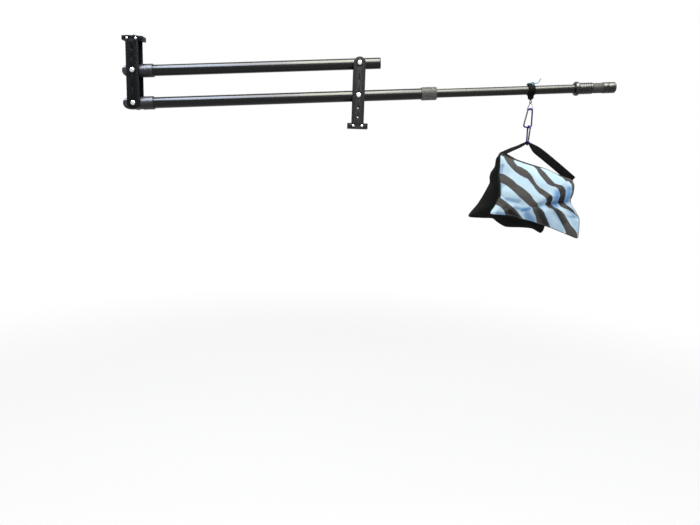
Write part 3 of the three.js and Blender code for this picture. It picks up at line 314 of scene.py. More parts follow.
braid(BRAIDED_CORD)
for coat, warp, weft, depth in (
        (STRIPED_CLOTH, 1.4, 1.4, 0.12), (BLACK_CLOTH, 1.4, 1.4, 0.12), (WEBBING, 1.7, 1.1, 0.25),
        (BINDING_TAPE, 1.2, 1.2, 0.15)):
    weave(coat, warp, weft, depth)
# Painted shade in the folds: the blue goes towards #4c84bc, the print towards #17171a and the tape
# towards #0c0c0d
stripes(STRIPED_CLOTH, "#4c84bc", ("stripe", "#575552", "#17171a", 0.7),
        ("tape", "#161617", "#0c0c0d", 0.4))


# Shapes, in millimetres

def linked(name, data):
    made = bpy.data.objects.new(name, data)
    scene.collection.objects.link(made)
    return made


def plain_mesh(shape):
    """The mesh of a shape with its modifiers, or of a curve."""
    graph = bpy.context.evaluated_depsgraph_get()
    return bpy.data.meshes.new_from_object(shape.evaluated_get(graph), depsgraph=graph)


def settled(shape):
    """The shape with its modifiers made part of its mesh."""
    mesh = plain_mesh(shape)
    shape.modifiers.clear()
    shape.data = mesh
    return shape


def tidied(mesh, join=True):
    """Joins doubled points, if asked, and turns the faces outwards."""
    work = bmesh.new()
    work.from_mesh(mesh)
    if join:
        bmesh.ops.remove_doubles(work, verts=work.verts, dist=1e-4)
    bmesh.ops.recalc_face_normals(work, faces=work.faces)
    work.to_mesh(mesh)
    work.free()
    return mesh


def from_faces(name, points, faces):
    mesh = bpy.data.meshes.new(name)
    mesh.from_pydata([tuple(map(float, p)) for p in points], [], faces)
    return linked(name, tidied(mesh))


def angles(count):
    """Even steps round a full turn."""
    return [FULL_TURN * k / count for k in range(count)]


def bridged(rings, looped=False):
    """Faces between each ring of points and the next; a ring of one point is a pole."""
    faces = []
    for ring, after in zip(rings, rings[1:] + (rings[:1] if looped else [])):
        count = max(len(ring), len(after))
        for k in range(count if count > 1 else 0):
            n = (k + 1) % count
            near = [ring[0]] if len(ring) == 1 else [ring[k], ring[n]]
            far = [after[0]] if len(after) == 1 else [after[k], after[n]]
            faces.append((near[0], *far, *near[1:]))
    return faces


def skinned(name, rings, places, looped=False):
    """A closed skin over rings of points, each with its place on the skin as a coordinate. An
    end ring is closed by a strip of faces."""
    starts = np.cumsum([0] + [len(ring) for ring in rings]).tolist()
    numbers = [list(range(a, b)) for a, b in zip(starts, starts[1:])]
    faces = bridged(numbers, looped)
    for ring in () if looped else (numbers[0], numbers[-1]):
        faces += [(ring[k], ring[k + 1], ring[-2 - k], ring[-1 - k])
                  for k in range(len(ring) // 2 - 1)]
    mesh = bpy.data.meshes.new(name)
    mesh.from_pydata(np.vstack(rings).tolist(), [], faces)
    layer = mesh.uv_layers.new(name="along")
    loops = np.empty(len(mesh.loops), int)
    mesh.loops.foreach_get("vertex_index", loops)
    layer.data.foreach_set("uv", np.vstack(places)[loops].ravel())
    return linked(name, tidied(mesh, join=False))


def eased(profile, radius, steps=3):
    """A closed profile with each of its corners rounded."""
    made = []
    count = len(profile)
    for i, corner in enumerate(profile):
        corner = Vector(corner)
        before, after = Vector(profile[i - 1]), Vector(profile[(i + 1) % count])
        back, ahead = before - corner, after - corner
        on_axis = corner.y < NEARLY_NONE and min(before.y, after.y) < NEARLY_NONE
        doubled = min(back.length, ahead.length) < NEARLY_NONE
        if on_axis or doubled or abs(back.angle(ahead) - math.pi) < 0.2:
            made.append(tuple(corner))
            continue
        reach = min(radius, 0.4 * back.length, 0.4 * ahead.length)
        start, end = corner + back.normalized() * reach, corner + ahead.normalized() * reach
        for k in range(steps + 1):
            t = k / steps
            made.append(tuple(start.lerp(corner, t).lerp(corner.lerp(end, t), t)))
    return made


def turned(profile, axis="X", sides=72):
    """A closed profile of (place along the axis, radius), turned about the axis."""
    points, rings = [], []
    for along, radius in profile:
        around = angles(sides) if radius > NEARLY_NONE else [0]
        rings.append(list(range(len(points), len(points) + len(around))))
        points += [(along, radius * math.cos(a), radius * math.sin(a)) for a in around]
    order = {"X": (0, 1, 2), "Y": (1, 0, 2), "Z": (1, 2, 0)}[axis]
    return from_faces("turned", [[p[i] for i in order] for p in points], bridged(rings, True))


def rounded(profile, ease, axis="X", sides=72, steps=3):
    """A turned shape whose profile has its corners rounded."""
    return turned(eased(profile, ease, steps), axis, sides)


def box(xs, ys, zs):
    points = [(x, y, z) for x in xs for y in ys for z in zs]
    faces = [(0, 1, 3, 2), (4, 6, 7, 5), (0, 4, 5, 1), (2, 3, 7, 6), (0, 2, 6, 4), (1, 5, 7, 3)]
    return from_faces("box", points, faces)


def bar_of(axis, radius, start, end, sides=48):
    return turned([(start, 0), (start, radius), (end, radius), (end, 0)], axis, sides)


def hexagon(axis, across_flats, start, end):
    return bar_of(axis, across_flats / math.sqrt(3), start, end, 6)


def moved(shape, *offset):
    shape.data.transform(Matrix.Translation(offset))
    return shape


def evened(shape):
    """Shading that follows the large faces, for shapes that were cut."""
    shape.data.shade_smooth()
    shape.data.set_sharp_from_angle(angle=math.radians(38))
    step = shape.modifiers.new("shading", "WEIGHTED_NORMAL")
    step.keep_sharp, step.weight = True, 90
    return settled(shape)


def worked(shape, operation, *tools):
    for tool in tools:
        step = shape.modifiers.new(operation, "BOOLEAN")
        step.operation, step.object, step.solver = operation, tool, "EXACT"
    settled(shape)
    for tool in tools:
        bpy.data.objects.remove(tool)
    return shape


def edged(shape, width):
    """Breaks the sharp edges of a shape."""
    step = shape.modifiers.new("edges", "BEVEL")
    step.width, step.segments, step.limit_method = width, 2, "ANGLE"
    step.angle_limit, step.use_clamp_overlap = math.radians(32), True
    return settled(shape)


def circle(x, z, radius, sides=40):
    return [(x + radius * math.cos(a), z + radius * math.sin(a)) for a in angles(sides)]


def arc(x, z, radius, start, end, step=math.radians(6)):
    count = max(2, round(abs(end - start) / step))
    return [(x + radius * math.cos(start + (end - start) * k / count),
             z + radius * math.sin(start + (end - start) * k / count)) for k in range(count + 1)]


def plate(outline, holes, low, high, edge, upright=True):
    """A plate with holes and rounded edges: upright in XZ between two places along Y, or lying
    in XY between two places along Z."""
    curve = bpy.data.curves.new("plate", "CURVE")
    curve.dimensions, curve.fill_mode = "2D", "BOTH"
    curve.extrude, curve.bevel_depth, curve.bevel_resolution = (high - low) / 2 - edge, edge, 1
    curve.offset = -edge
    for line in [outline] + [hole[::-1] for hole in holes]:
        spline = curve.splines.new("POLY")
        spline.points.add(len(line) - 1)
        for knot, (x, z) in zip(spline.points, line):
            knot.co = (x, z, 0, 1)
        spline.use_cyclic_u = True
    drawn = linked("plate", curve)
    made = linked("plate", tidied(plain_mesh(drawn)))
    bpy.data.objects.remove(drawn)
    middle = (low + high) / 2
    if not upright:
        return moved(made, 0, 0, middle)
    made.data.transform(Matrix.Rotation(math.pi / 2, 4, "X"))
    return moved(made, 0, middle, 0)


def line_of(points, closed=False):
    curve = bpy.data.curves.new("line", "CURVE")
    curve.dimensions = "3D"
    spline = curve.splines.new("POLY")
    spline.points.add(len(points) - 1)
    for knot, place in zip(spline.points, points):
        knot.co = (*place, 1)
    spline.use_cyclic_u = closed
    return curve


def together(shapes):
    """Several shapes as one."""
    whole = bmesh.new()
    for shape in shapes:
        whole.from_mesh(shape.data)
    mesh = bpy.data.meshes.new("together")
    whole.to_mesh(mesh)
    whole.free()
    for shape in shapes:
        bpy.data.objects.remove(shape)
    return linked("together", mesh)


# Geometry Nodes for what repeats or follows a line

def new_tree(name, inputs):
    tree = bpy.data.node_groups.new(name, "GeometryNodeTree")
    sockets = [("Geometry", "NodeSocketGeometry"), *inputs, ("Finish", "NodeSocketMaterial")]
    for label, kind in sockets:
        tree.interface.new_socket(label, in_out="INPUT", socket_type=kind)
    tree.interface.new_socket("Geometry", in_out="OUTPUT", socket_type="NodeSocketGeometry")
    return tree, add(tree, "NodeGroupInput").outputs


def close_tree(tree, given, geometry):
    smooth = add(tree, "GeometryNodeSetShadeSmooth", {}, {"Geometry": geometry})
    real = add(tree, "GeometryNodeRealizeInstances", {}, {"Geometry": smooth})
    coated = add(tree, "GeometryNodeSetMaterial", {}, {
        "Geometry": real, "Material": given["Finish"]})
    add(tree, "NodeGroupOutput", {}, {"Geometry": coated})
    return tree


def wire_tree():
    """Round wire along a line."""
    tree, given = new_tree("bent wire", [
        ("Diameter", "NodeSocketFloat"), ("Sides", "NodeSocketInt")])
    radius = add(tree, "ShaderNodeMath", {"operation": "DIVIDE"}, {0: given["Diameter"], 1: 2.0})
    section = add(tree, "GeometryNodeCurvePrimitiveCircle", {}, {
        "Resolution": given["Sides"], "Radius": radius})
    return close_tree(tree, given, add(tree, "GeometryNodeCurveToMesh", {}, {
        "Curve": given["Geometry"], "Profile Curve": section, "Fill Caps": True}))


def row_tree():
    """One shape again and again in a straight row."""
    tree, given = new_tree("row", [("Count", "NodeSocketInt"), ("Step", "NodeSocketVector")])
    places = add(tree, "GeometryNodeMeshLine", {"mode": "OFFSET"}, {
        "Count": given["Count"], "Offset": given["Step"]})
    return close_tree(tree, given, add(tree, "GeometryNodeInstanceOnPoints", {}, {
        "Points": places, "Instance": given["Geometry"]}))


def stitch_tree():
    """Short thread stitches along a line, each a little out of true."""
    tree, given = new_tree("stitches", [
        ("Pitch", "NodeSocketFloat"), ("Length", "NodeSocketFloat"), ("Thread", "NodeSocketFloat"),
        ("Seed", "NodeSocketInt")])
    places = add(tree, "GeometryNodeResampleCurve", {"mode": "LENGTH"}, {
        "Curve": given["Geometry"], "Length": given["Pitch"]})
    heading = add(tree, "FunctionNodeAlignRotationToVector", {"axis": "X"}, {
        "Vector": add(tree, "GeometryNodeInputTangent")})
    bead = add(tree, "GeometryNodeMeshUVSphere", {}, {"Segments": 6, "Rings": 4, "Radius": 0.5})
    size = add(tree, "ShaderNodeCombineXYZ", {}, {
        "X": given["Length"], "Y": given["Thread"], "Z": given["Thread"]})
    wobble = add(tree, "FunctionNodeRandomValue", {"data_type": "FLOAT_VECTOR"}, {
        "Min": (0.85, 0.85, 0.85), "Max": (1.1, 1.15, 1.15), "Seed": given["Seed"]})
    scaled = add(tree, "ShaderNodeVectorMath", {"operation": "MULTIPLY"}, {0: size, 1: wobble})
    return close_tree(tree, given, add(tree, "GeometryNodeInstanceOnPoints", {}, {
        "Points": places, "Instance": bead, "Rotation": heading, "Scale": scaled}))


WIRES, ROWS, STITCHES = wire_tree(), row_tree(), stitch_tree()


def grown(data, tree, coat, **sizes):
    """A plain mesh that a tree makes from a mesh or curve."""
    source = linked("grown", data)
    step = source.modifiers.new("grow", "NODES")
    step.node_group = tree
    sizes["Finish"] = coat
    for socket in tree.interface.items_tree:
        if socket.in_out == "INPUT" and socket.name in sizes:
            step[socket.identifier] = sizes[socket.name]
    mesh = plain_mesh(source)
    bpy.data.objects.remove(source)
    return linked("grown", mesh)


def wire(points, diameter, coat, closed=False):
    return grown(line_of(points, closed), WIRES, coat, Diameter=float(diameter), Sides=24)


def row(shape, coat, count, step):
    data = shape.data
    bpy.data.objects.remove(shape)
    return grown(data, ROWS, coat, Count=count, Step=step)


# Putting a finished shape in its place

BODY_OF = {node: body for body, nodes in frame["record"]["behaviour"]["bodies"].items()
           for node in nodes}


def piece(shape, name, coat, where, *replaced, body=None, crisp=38, cut=False):
    """Names a shape, moves it from its own frame to its place in metres, gives it its finish,
    attaches it to its body, and hides the CAD nodes that it stands for."""
    shape.name = shape.data.name = name
    shape.data.transform(Matrix.Scale(MM, 4) @ where)
    shape.data.materials.clear()
    shape.data.materials.append(coat)
    if cut:
        evened(shape)
    else:
        shape.data.shade_smooth()
        shape.data.set_sharp_from_angle(angle=math.radians(crisp))
    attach(shape, body or BODY_OF[replaced[0]])
    if replaced:
        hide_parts(*replaced)
    return shape


# Camera

def camera():
    """The photograph's view: a little to the left of the column, slightly below the arms."""
    down, right, roll = 0.175288, 0.0370581, 0.0341443
    place = Vector((-76.55, -1855.77, -75.40)) * MM
    focal_length, picture_width = 610, 700  # in pixels
    ahead = Vector((math.sin(right) * math.cos(down), math.cos(right) * math.cos(down),
                    -math.sin(down)))
    level = Vector((math.cos(right), -math.sin(right), 0))
    up = level.cross(ahead)
    across = math.cos(roll) * level + math.sin(roll) * up
    top = -math.sin(roll) * level + math.cos(roll) * up
    data = bpy.data.cameras.new("view")
    data.sensor_width, data.sensor_fit = 36, "HORIZONTAL"
    data.lens = data.sensor_width * focal_length / picture_width
    data.clip_start, data.clip_end = 0.05, 60
    made = linked("view", data)
    axes = Matrix((across, top, -ahead)).transposed()
    made.matrix_world = Matrix.Translation(place) @ axes.to_4x4()
    scene.camera = made


camera()

# Tied cord's tail, from the middle of the hook collar: route and thickness as in the CAD
TAIL_ROUTE = [
    (7.9, -0.4, 19.6), (9.9, -0.8, 19.5), (11.8, -1.5, 19.3), (13.6, -2.6, 19.0),
    (15.2, -4.0, 18.9), (16.9, -5.2, 19.1), (18.7, -5.9, 19.7), (20.4, -6.0, 20.8),
    (21.8, -5.6, 22.2), (23.0, -4.7, 23.7), (24.0, -3.6, 25.2), (25.0, -2.5, 26.7),
    (26.1, -1.6, 28.2), (27.3, -0.9, 29.6), (28.6, -0.5, 31.0), (30.0, -0.3, 32.3),
]
TAIL_DIAMETER = 2.2
CORD = {"loop": 2.5, "rise": 1.6, "knot_wide": 2.15, "knot_out": 5.4, "knot_up": 3.8}


def swept(points, radius, sides=20, closed=False):
    """A round cord along a route, with its turns and its length in millimetres as coordinates."""
    route = [Vector(p) for p in points]
    side, length = None, 0.0
    rings, places = [], []
    for i, place in enumerate(route):
        before = route[i - 1] if closed or i else place
        after = route[(i + 1) % len(route)] if closed or i + 1 < len(route) else place
        ahead = (after - before).normalized()
        side = ahead.orthogonal() if side is None else side - ahead * side.dot(ahead)
        side.normalize()
        other = ahead.cross(side)
        length += (place - before).length if i else 0
        rings.append([place + radius * (math.cos(a) * side + math.sin(a) * other)
                      for a in angles(sides)])
        places.append([(k / sides, length) for k in range(sides)])
    made = skinned("swept", rings, places, closed)
    # Faces that close the turn run on to 1 instead of back to 0
    marks = made.data.uv_layers["along"].data
    for face in made.data.polygons:
        corners = [marks[k] for k in face.loop_indices]
        turns = [corner.uv.x for corner in corners]
        if len(turns) == 4 and max(turns) - min(turns) > 0.5:
            for corner in corners:
                corner.uv.x = corner.uv.x or 1
    return made


def spline(points, per_span, closed=False):
    """A smooth line through points of any number of parts."""
    table = np.array(points, float)
    count = len(table)
    made = []
    for i in range(count if closed else count - 1):
        if closed:
            a, b, c, d = (table[(i + k) % count] for k in (-1, 0, 1, 2))
        else:
            a, b, c, d = (table[min(max(i + k, 0), count - 1)] for k in (-1, 0, 1, 2))
        for k in range(per_span):
            t = k / per_span
            made.append(0.5 * (2 * b + (c - a) * t + (2 * a - 5 * b + 4 * c - d) * t * t
                               + (3 * b - a - 3 * c + d) * t ** 3))
    if not closed:
        made.append(table[-1])
    return np.array(made)


def cord_and_knot():
    route = spline(TAIL_ROUTE, 2)
    tail = piece(swept(route, TAIL_DIAMETER / 2), "tied_cord_tail", BRAIDED_CORD, HOOK,
                 "hook_cord_tail", crisp=60)
    radius = CORD["loop"] / 2
    reach, height = COLLAR["boss"] + SEAT + radius, COLLAR["radius"] + SEAT + radius
    # Twice round the boss: the second turn lies on the first
    steps = 96
    turns = []
    for k in range(steps + 1):
        angle = math.pi * 0.1 + 2 * FULL_TURN * k / steps
        turns.append((COLLAR["boss_place"] + reach * math.cos(angle), reach * math.sin(angle),
                      height + CORD["rise"] * k / steps))
    # A half knot behind the boss
    middle = Vector((COLLAR["boss_place"] + COLLAR["boss"] + SEAT + CORD["knot_out"], 0,
                     COLLAR["radius"] + SEAT + CORD["knot_up"]))
    knot = [middle + CORD["knot_wide"] * Vector((
        0.92 * (math.sin(t) + 1.2 * math.sin(2 * t)), 1.08 * (math.cos(t) - 1.2 * math.cos(2 * t)),
        -1.35 * math.sin(3 * t))) for t in angles(72)]
    # The turns are coloured navy as painted shade
    turns = piece(swept(turns, radius), "tied_cord_turns", PAINTED_SHADE_CORD, HOOK, "hook_cord_knot",
                  crisp=60)
    knot = piece(swept(knot, radius - 0.1, closed=True), "tied_cord_knot", KNOT_CORD, HOOK,
                 "hook_cord_knot", crisp=60)


cord_and_knot()


# Column and head: the same bar, upright and turned over

def side_bar(side):
    half = BAR["width"] / 2
    outline = [(-half, 0), (half, 0)] + arc(0, UPPER_PIVOT, half, 0, math.pi, math.radians(4))
    h = BAR_HOLES
    spares = [LOWER_PIVOT + BAR["pitch"] / 2, h["high"], h["low"]]
    holes = ([circle(0, z, h["bolt"]) for z in (UPPER_PIVOT, LOWER_PIVOT)]
             + [circle(0, z, h["spare"]) for z in spares]
             + [circle(x, h["row"], h["screw"], 24) for x in (-h["spread"], h["spread"])])
    inner, outer = BAR["between"] / 2, BAR["between"] / 2 + BAR["thick"]
    low, high = (-outer, -inner) if side == "near" else (inner, outer)
    return plate(outline, holes, low, high, BAR["edge"])


TURNED_OVER = HEAD @ Matrix.Translation((0, 0, UPPER_PIVOT)) @ Matrix.Rotation(math.pi, 4, "Y")
for side in ("near", "far"):
    # The head's bars take the darker finish, which is painted shade
    for body, coat, where in (("column", BLASTED_ALUMINIUM, COLUMN),
                              ("head", SHADE_PAINTED_ALUMINIUM, TURNED_OVER)):
        piece(side_bar(side), f"{body}_{side}_side_bar", coat, where, f"{body}_{side}_bar")


THREAD_DEPTH, LEAD_IN = 0.5, 0.8


def threaded_sleeve(diameter, bottom, top, pitch):
    """The ridges of a cut thread inside a hole."""
    radius, back = diameter / 2, diameter / 2 + 0.2
    count = int((top - bottom) / pitch)
    profile = [(bottom, back)]
    for k in range(count):
        root = bottom + k * pitch
        profile += [(root, radius), (root + pitch / 2, radius - THREAD_DEPTH)]
    profile += [(bottom + count * pitch, radius), (bottom + count * pitch, back)]
    return turned(profile, "Z", 40)


def thread_end(radius, start, end, pitch=1.25):
    """The end of a threaded shank, with its lead-in cone."""
    profile = [(start, 0)]
    place = start
    while place + pitch < end - LEAD_IN:
        profile += [(place, radius - THREAD_DEPTH), (place + pitch / 2, radius)]
        place += pitch
    profile += [(end - LEAD_IN, radius), (end, radius - LEAD_IN), (end, 0)]
    return turned(profile, "Y", 32)


def block(bottom, height, threads):
    """A rounded block with its upright threads: the place, diameter and pitch of each."""
    r = BLOCK["corner"]
    x, y = BLOCK["length"] / 2 - r, BLOCK["depth"] / 2 - r
    corners = ((x, y), (-x, y), (-x, -y), (x, -y))
    outline = [point for k, corner in enumerate(corners)
               for point in arc(*corner, r, k * math.pi / 2, (k + 1) * math.pi / 2)]
    holes = [circle(place, 0, diameter / 2) for place, diameter, _ in threads]
    solid = plate(outline, holes, bottom, bottom + height, BLOCK["edge"], upright=False)
    low, high = bottom + LEAD_IN, bottom + height - LEAD_IN
    sleeves = [moved(threaded_sleeve(diameter, low, high, pitch), place, 0, 0)
               for place, diameter, pitch in threads if pitch]
    return together([solid, *sleeves])


piece(block(0, BLOCK["base"], [(-15, 8, 1.25), (15, 5.2, 0.9)]), "foot_block", BLASTED_ALUMINIUM,
      COLUMN, "base_block")
# The platform takes the same darker finish, which is painted shade
piece(block(UPPER_PIVOT - BLOCK["platform"], BLOCK["platform"], [(0, 6.8, 0), (17, 8, 1.25)]),
      "platform_block", SHADE_PAINTED_ALUMINIUM, HEAD, "camera_platform")


def domed_head(radius, height, socket, depth):
    """A domed head with a hexagon socket: its flat face at y = 0, its dome towards -Y."""
    upright, flat_top, steps = height * 0.25, socket * 0.6, 8
    profile = [(0, 0), (0, radius - 0.2), (-0.2, radius), (-upright, radius)]
    for k in range(1, steps + 1):
        angle = math.pi / 2 * k / steps
        profile.append((-upright - (height - upright) * math.sin(angle),
                        flat_top + (radius - flat_top) * math.cos(angle)))
    head = turned([*profile, (-height, 0)], "Y", 48)
    return worked(head, "DIFFERENCE", hexagon("Y", socket, -height - 1, -height + depth))


def block_screws(name, height, where, *nodes):
    """Two screws on each side bar, at its square end and some way up."""
    rows = []
    for turn in (0, math.pi):
        head = domed_head(radius=3.5, height=2.4, socket=2.5, depth=1.3)
        pair = row(moved(head, 0, -FACE, height), ZINC_STEEL, 2, (2 * BAR_HOLES["spread"], 0, 0))
        moved(pair, -BAR_HOLES["spread"], 0, 0).data.transform(Matrix.Rotation(turn, 4, "Z"))
        rows.append(pair)
    piece(together(rows), name, ZINC_STEEL, where, *nodes)


SCREW_NODES = [f"{side}_{end}_screw" for side in ("near", "far") for end in ("front", "rear")]
block_screws("foot_screws", BAR_HOLES["row"], COLUMN, *(f"base_{n}" for n in SCREW_NODES))
block_screws("platform_screws", UPPER_PIVOT - BAR_HOLES["row"], HEAD,
             *(f"platform_{n}" for n in SCREW_NODES))


def pivot_bolt():
    return moved(domed_head(radius=7, height=4.4, socket=5, depth=2.6), 0, -FACE, 0)


def bolt_head_dark_ring():
    """A thin black ring, 0.26 mm thick, round the bolt's head in the gap where it seats."""
    low, high, inner, outer = 0.02, SEAT - 0.02, 4.2, 8.6
    thin_dark_ring = turned([(low, inner), (low, outer), (high, outer), (high, inner)], "Y", 48)
    return moved(thin_dark_ring, 0, -FACE, 0)


def pivot_nut():
    """A flange nut with its locking collar, and the bolt's end in it."""
    bore = BAR_HOLES["bolt"]
    flange = rounded([(0, bore), (0, 8.5), (0.9, 8.5), (1.4, 7.6), (1.4, bore)], 0.3, "Y", 48)
    body = edged(hexagon("Y", 13, 0.8, 6.5), 0.35)
    collar = rounded([(6.2, 3.9), (6.2, 5.7), (7.6, 5.7), (8, 4.9), (8, 3.9)], 0.4, "Y", 48)
    return moved(together([flange, body, collar, thread_end(4, 0, 9.5)]), 0, FACE, 0)


for body, where, low in (("column", COLUMN, LOWER_PIVOT), ("head", HEAD, 0)):
    for shape, kind in ((pivot_bolt(), "bolt"), (pivot_nut(), "nut")):
        pair = row(moved(shape, 0, 0, low), ZINC_STEEL, 2, (0, 0, BAR["pitch"]))
        piece(pair, f"{body}_pivot_{kind}s", ZINC_STEEL, where,
              f"{body}_lower_pivot_{kind}", f"{body}_upper_pivot_{kind}")
    piece(row(moved(bolt_head_dark_ring(), 0, 0, low), MOULDED_NYLON, 2, (0, 0, BAR["pitch"])),
          f"{body}_pivot_dark_rings", MOULDED_NYLON, where, body=body)


# Arms

FITTING = {"radius": 19, "nose": 31, "nose_height": 34, "tongue": 34, "tongue_end": 20,
           "shoulder": 6, "sleeve_end": 55, "chamfer": 1.6, "socket": 24}
TUBE_FRONT = FITTING["socket"] + SEAT - ARM["length"]
SPACER, WASHER = 10, 8  # radii


def end_fitting(bore):
    """A sleeve for the tube and a flat-sided tongue with a round nose, its pivot at x = 0."""
    f = FITTING
    radius, half = f["radius"], f["nose_height"] / 2
    body = turned([(-f["nose"], 0), (-f["nose"], radius), (f["sleeve_end"] - f["chamfer"], radius),
                   (f["sleeve_end"], radius - f["chamfer"]), (f["sleeve_end"], 0)], "X", 96)
    over = radius + 2
    end, shoulder = f["sleeve_end"] + 2, f["tongue_end"] + f["shoulder"]
    outline = arc(half - f["nose"], 0, half, math.pi / 2, 1.5 * math.pi, math.radians(5)) + [
        (f["tongue_end"], -half), (shoulder, -over), (end, -over), (end, over), (shoulder, over),
        (f["tongue_end"], half)]
    worked(body, "INTERSECT", plate(outline, [], -over, over, 0))
    cuts = [box((-f["nose"] - 2, f["tongue_end"]), ys, (-over, over))
            for ys in ((-over, -f["tongue"] / 2), (f["tongue"] / 2, over))]
    cuts += [bar_of("X", ARM["radius"] + SEAT, f["socket"], end, 72),
             bar_of("Y", bore, -over, over, 40)]
    return edged(worked(body, "DIFFERENCE", *cuts), 0.5)


def tube(outer, inner, start, end, axis="X", ease=0.35, sides=96):
    return rounded([(start, inner), (start, outer), (end, outer), (end, inner)], ease, axis, sides)


def saddle_spacer(side):
    inner = BAR["between"] / 2 - SEAT
    ys = (-inner, 0) if side == "near" else (0, inner)
    past = inner + 2
    return worked(bar_of("Y", SPACER, *ys), "DIFFERENCE",
                  bar_of("X", ARM["radius"] + SEAT, -past, past, 72),
                  bar_of("Y", BAR_HOLES["bolt"], -past, past, 32))


def thrust_washer(side):
    start, end = FITTING["tongue"] / 2 + SEAT, BAR["between"] / 2 - SEAT
    if side == "near":
        start, end = -end, -start
    return tube(WASHER, BAR_HOLES["bolt"], start, end, "Y", 0.3, 48)


for body, word, where, rear, bore in (
        ("boom", "lower", LOWER_ARM, 206, BAR_HOLES["bolt"]),
        ("upper_arm", "upper", UPPER_ARM, 59.6, 4.5)):
    front = where @ Matrix.Translation((-ARM["length"], 0, 0))
    piece(tube(ARM["radius"], ARM["bore"], TUBE_FRONT, rear), f"{word}_arm_drawn_tube",
          POLISHED_TUBE, where, f"{body}_tube")
    piece(end_fitting(bore), f"{word}_arm_end_fitting", CAST_FITTING, front, f"{body}_front_end",
          cut=True)
    for side in ("near", "far"):
        piece(saddle_spacer(side), f"{word}_arm_{side}_saddle", TURNED_NYLON, where,
              f"{body}_{side}_saddle_spacer")
        piece(thrust_washer(side), f"{word}_arm_{side}_washer", TURNED_NYLON, front,
              f"{body}_{side}_thrust_washer")

# The profiles that follow are rows of (place along the arm, radius). A plug with a rim and a
# shallow dished face closes the upper tube
piece(rounded([
    (60.9, 0), (61.0, 11), (61.5, 12.2), (61.5, 15.2), (61.1, 15.6), (59.9, 15.6), (59.9, 14.2),
    (47.5, 14.2), (47.5, 12.7), (59.9, 12.7), (59.9, 0)], 0.3),
    "upper_tube_end_plug", MOULDED_NYLON, UPPER_ARM, "upper_arm_end_plug")
# Twist lock: a collar over a slit collet
piece(rounded([
    (186, 16.3), (186, 17.9), (188.2, 19), (229.8, 19), (231, 17.8), (231, 13), (225, 13),
    (220.6, 14.8), (210.6, 16.3)], 0.5, sides=96),
    "twist_lock_collar", GREY_ABS, LOWER_ARM, "lock_collar")
# Rear tube with its flange, ribbed grip, plain band and cap
piece(tube(12.7, 11.2, 120, 736), "sliding_rear_tube", RUBBED_TUBE, LOWER_ARM, "extension_tube")
piece(rounded([
    (643, GRIP["bore"]), (643, 18), (645.5, 20.5), (652.2, 20.5), (654.7, 18),
    (654.7, GRIP["bore"])], 0.9, steps=4),
    "grip_flange_ring", GLOSSY_RUBBER, LOWER_ARM, "grip_flange")
piece(tube(GRIP["root"], GRIP["bore"], GRIP["front"], GRIP["band"], ease=0.3, sides=72),
      "grip_ribbed_sleeve", GLOSSY_RUBBER, LOWER_ARM, "grip_sleeve")
rib = rounded([
    (GRIP["front"] + 0.1, GRIP["root"] - 0.6), (GRIP["front"] + 0.2, GRIP["root"]),
    (GRIP["front"] + 1.4, GRIP["crest"]), (GRIP["front"] + 4.2, GRIP["crest"]),
    (GRIP["front"] + 5.4, GRIP["root"]), (GRIP["front"] + 5.5, GRIP["root"] - 0.6)], 0.7, steps=4)
piece(row(rib, GLOSSY_RUBBER, GRIP["ribs"], (GRIP["pitch"], 0, 0)), "grip_ribs", GLOSSY_RUBBER,
      LOWER_ARM, body="extension")
piece(tube(GRIP["band_radius"], GRIP["bore"] + 0.2, GRIP["band"] + 0.05, GRIP["cap"] - SEAT,
           ease=0.3, sides=72), "grip_plain_band", GROUND_RUBBER, LOWER_ARM, body="extension")
radius, bore, end = GRIP["cap_radius"], GRIP["bore"], GRIP["end"]
piece(rounded([
    (GRIP["cap"], bore), (GRIP["cap"], radius), (742, radius), (742, radius - 1.4),
    (744, radius - 1.4), (744, radius), (end - 3, radius), (end, radius - 3), (end, 10.5),
    (end - 0.6, 9.8), (end - 0.6, 0), (736.3, 0), (736.3, bore)], 0.5, steps=4),
    "grip_end_piece", GLOSSY_RUBBER, LOWER_ARM, "grip_end_cap")


# Hook collar with its boss and lug, grub screw and screw eye

def hook_collar():
    c = COLLAR
    half, foot, top = c["length"] / 2, c["lug_foot"], c["boss_top"]
    band = bar_of("X", c["radius"], -half, half, 96)
    round_foot = arc(0, c["lug"] - foot, c["lug"], 0, -math.pi, math.radians(5))
    lug = plate([(c["lug"], 0), *round_foot, (-c["lug"], 0)], [],
                -c["lug_thick"] / 2, c["lug_thick"] / 2, 0)
    boss = turned([(0, 0), (0, c["boss"]), (top - 1.5, c["boss"]), (top, c["boss"] - 1.5),
                   (top, 0)], "Z", 48)
    worked(band, "UNION", lug, moved(boss, c["boss_place"], 0, 0))
    cuts = [bar_of("X", c["bore"], -half - 2, half + 2, 96),
            moved(bar_of("Z", c["grub_bore"], 0, top + 2, 32), c["boss_place"], 0, 0),
            bar_of("Z", c["eye_bore"], -foot - 2, -c["eye_top"], 24)]
    return edged(worked(band, "DIFFERENCE", *cuts), 0.6)


def grub_screw():
    low, high, radius = COLLAR["bore"], COLLAR["boss_top"] - SEAT, 2.5
    screw = rounded([(low, 0), (low, radius), (high, radius), (high, 0)], 0.3, "Z", 32)
    worked(screw, "DIFFERENCE", hexagon("Z", 2.5, high - 2.5, high + 1.3))
    return moved(screw, COLLAR["boss_place"], 0, 0)


piece(hook_collar(), "hook_collar_body", MOULDED_NYLON, HOOK, "hook_collar", cut=True)
piece(grub_screw(), "hook_grub", BLACK_OXIDE, HOOK, "hook_grub_screw")

EYE = {"wire": 2.2, "radius": 4, "drop": 33.9, "turn": math.radians(24)}


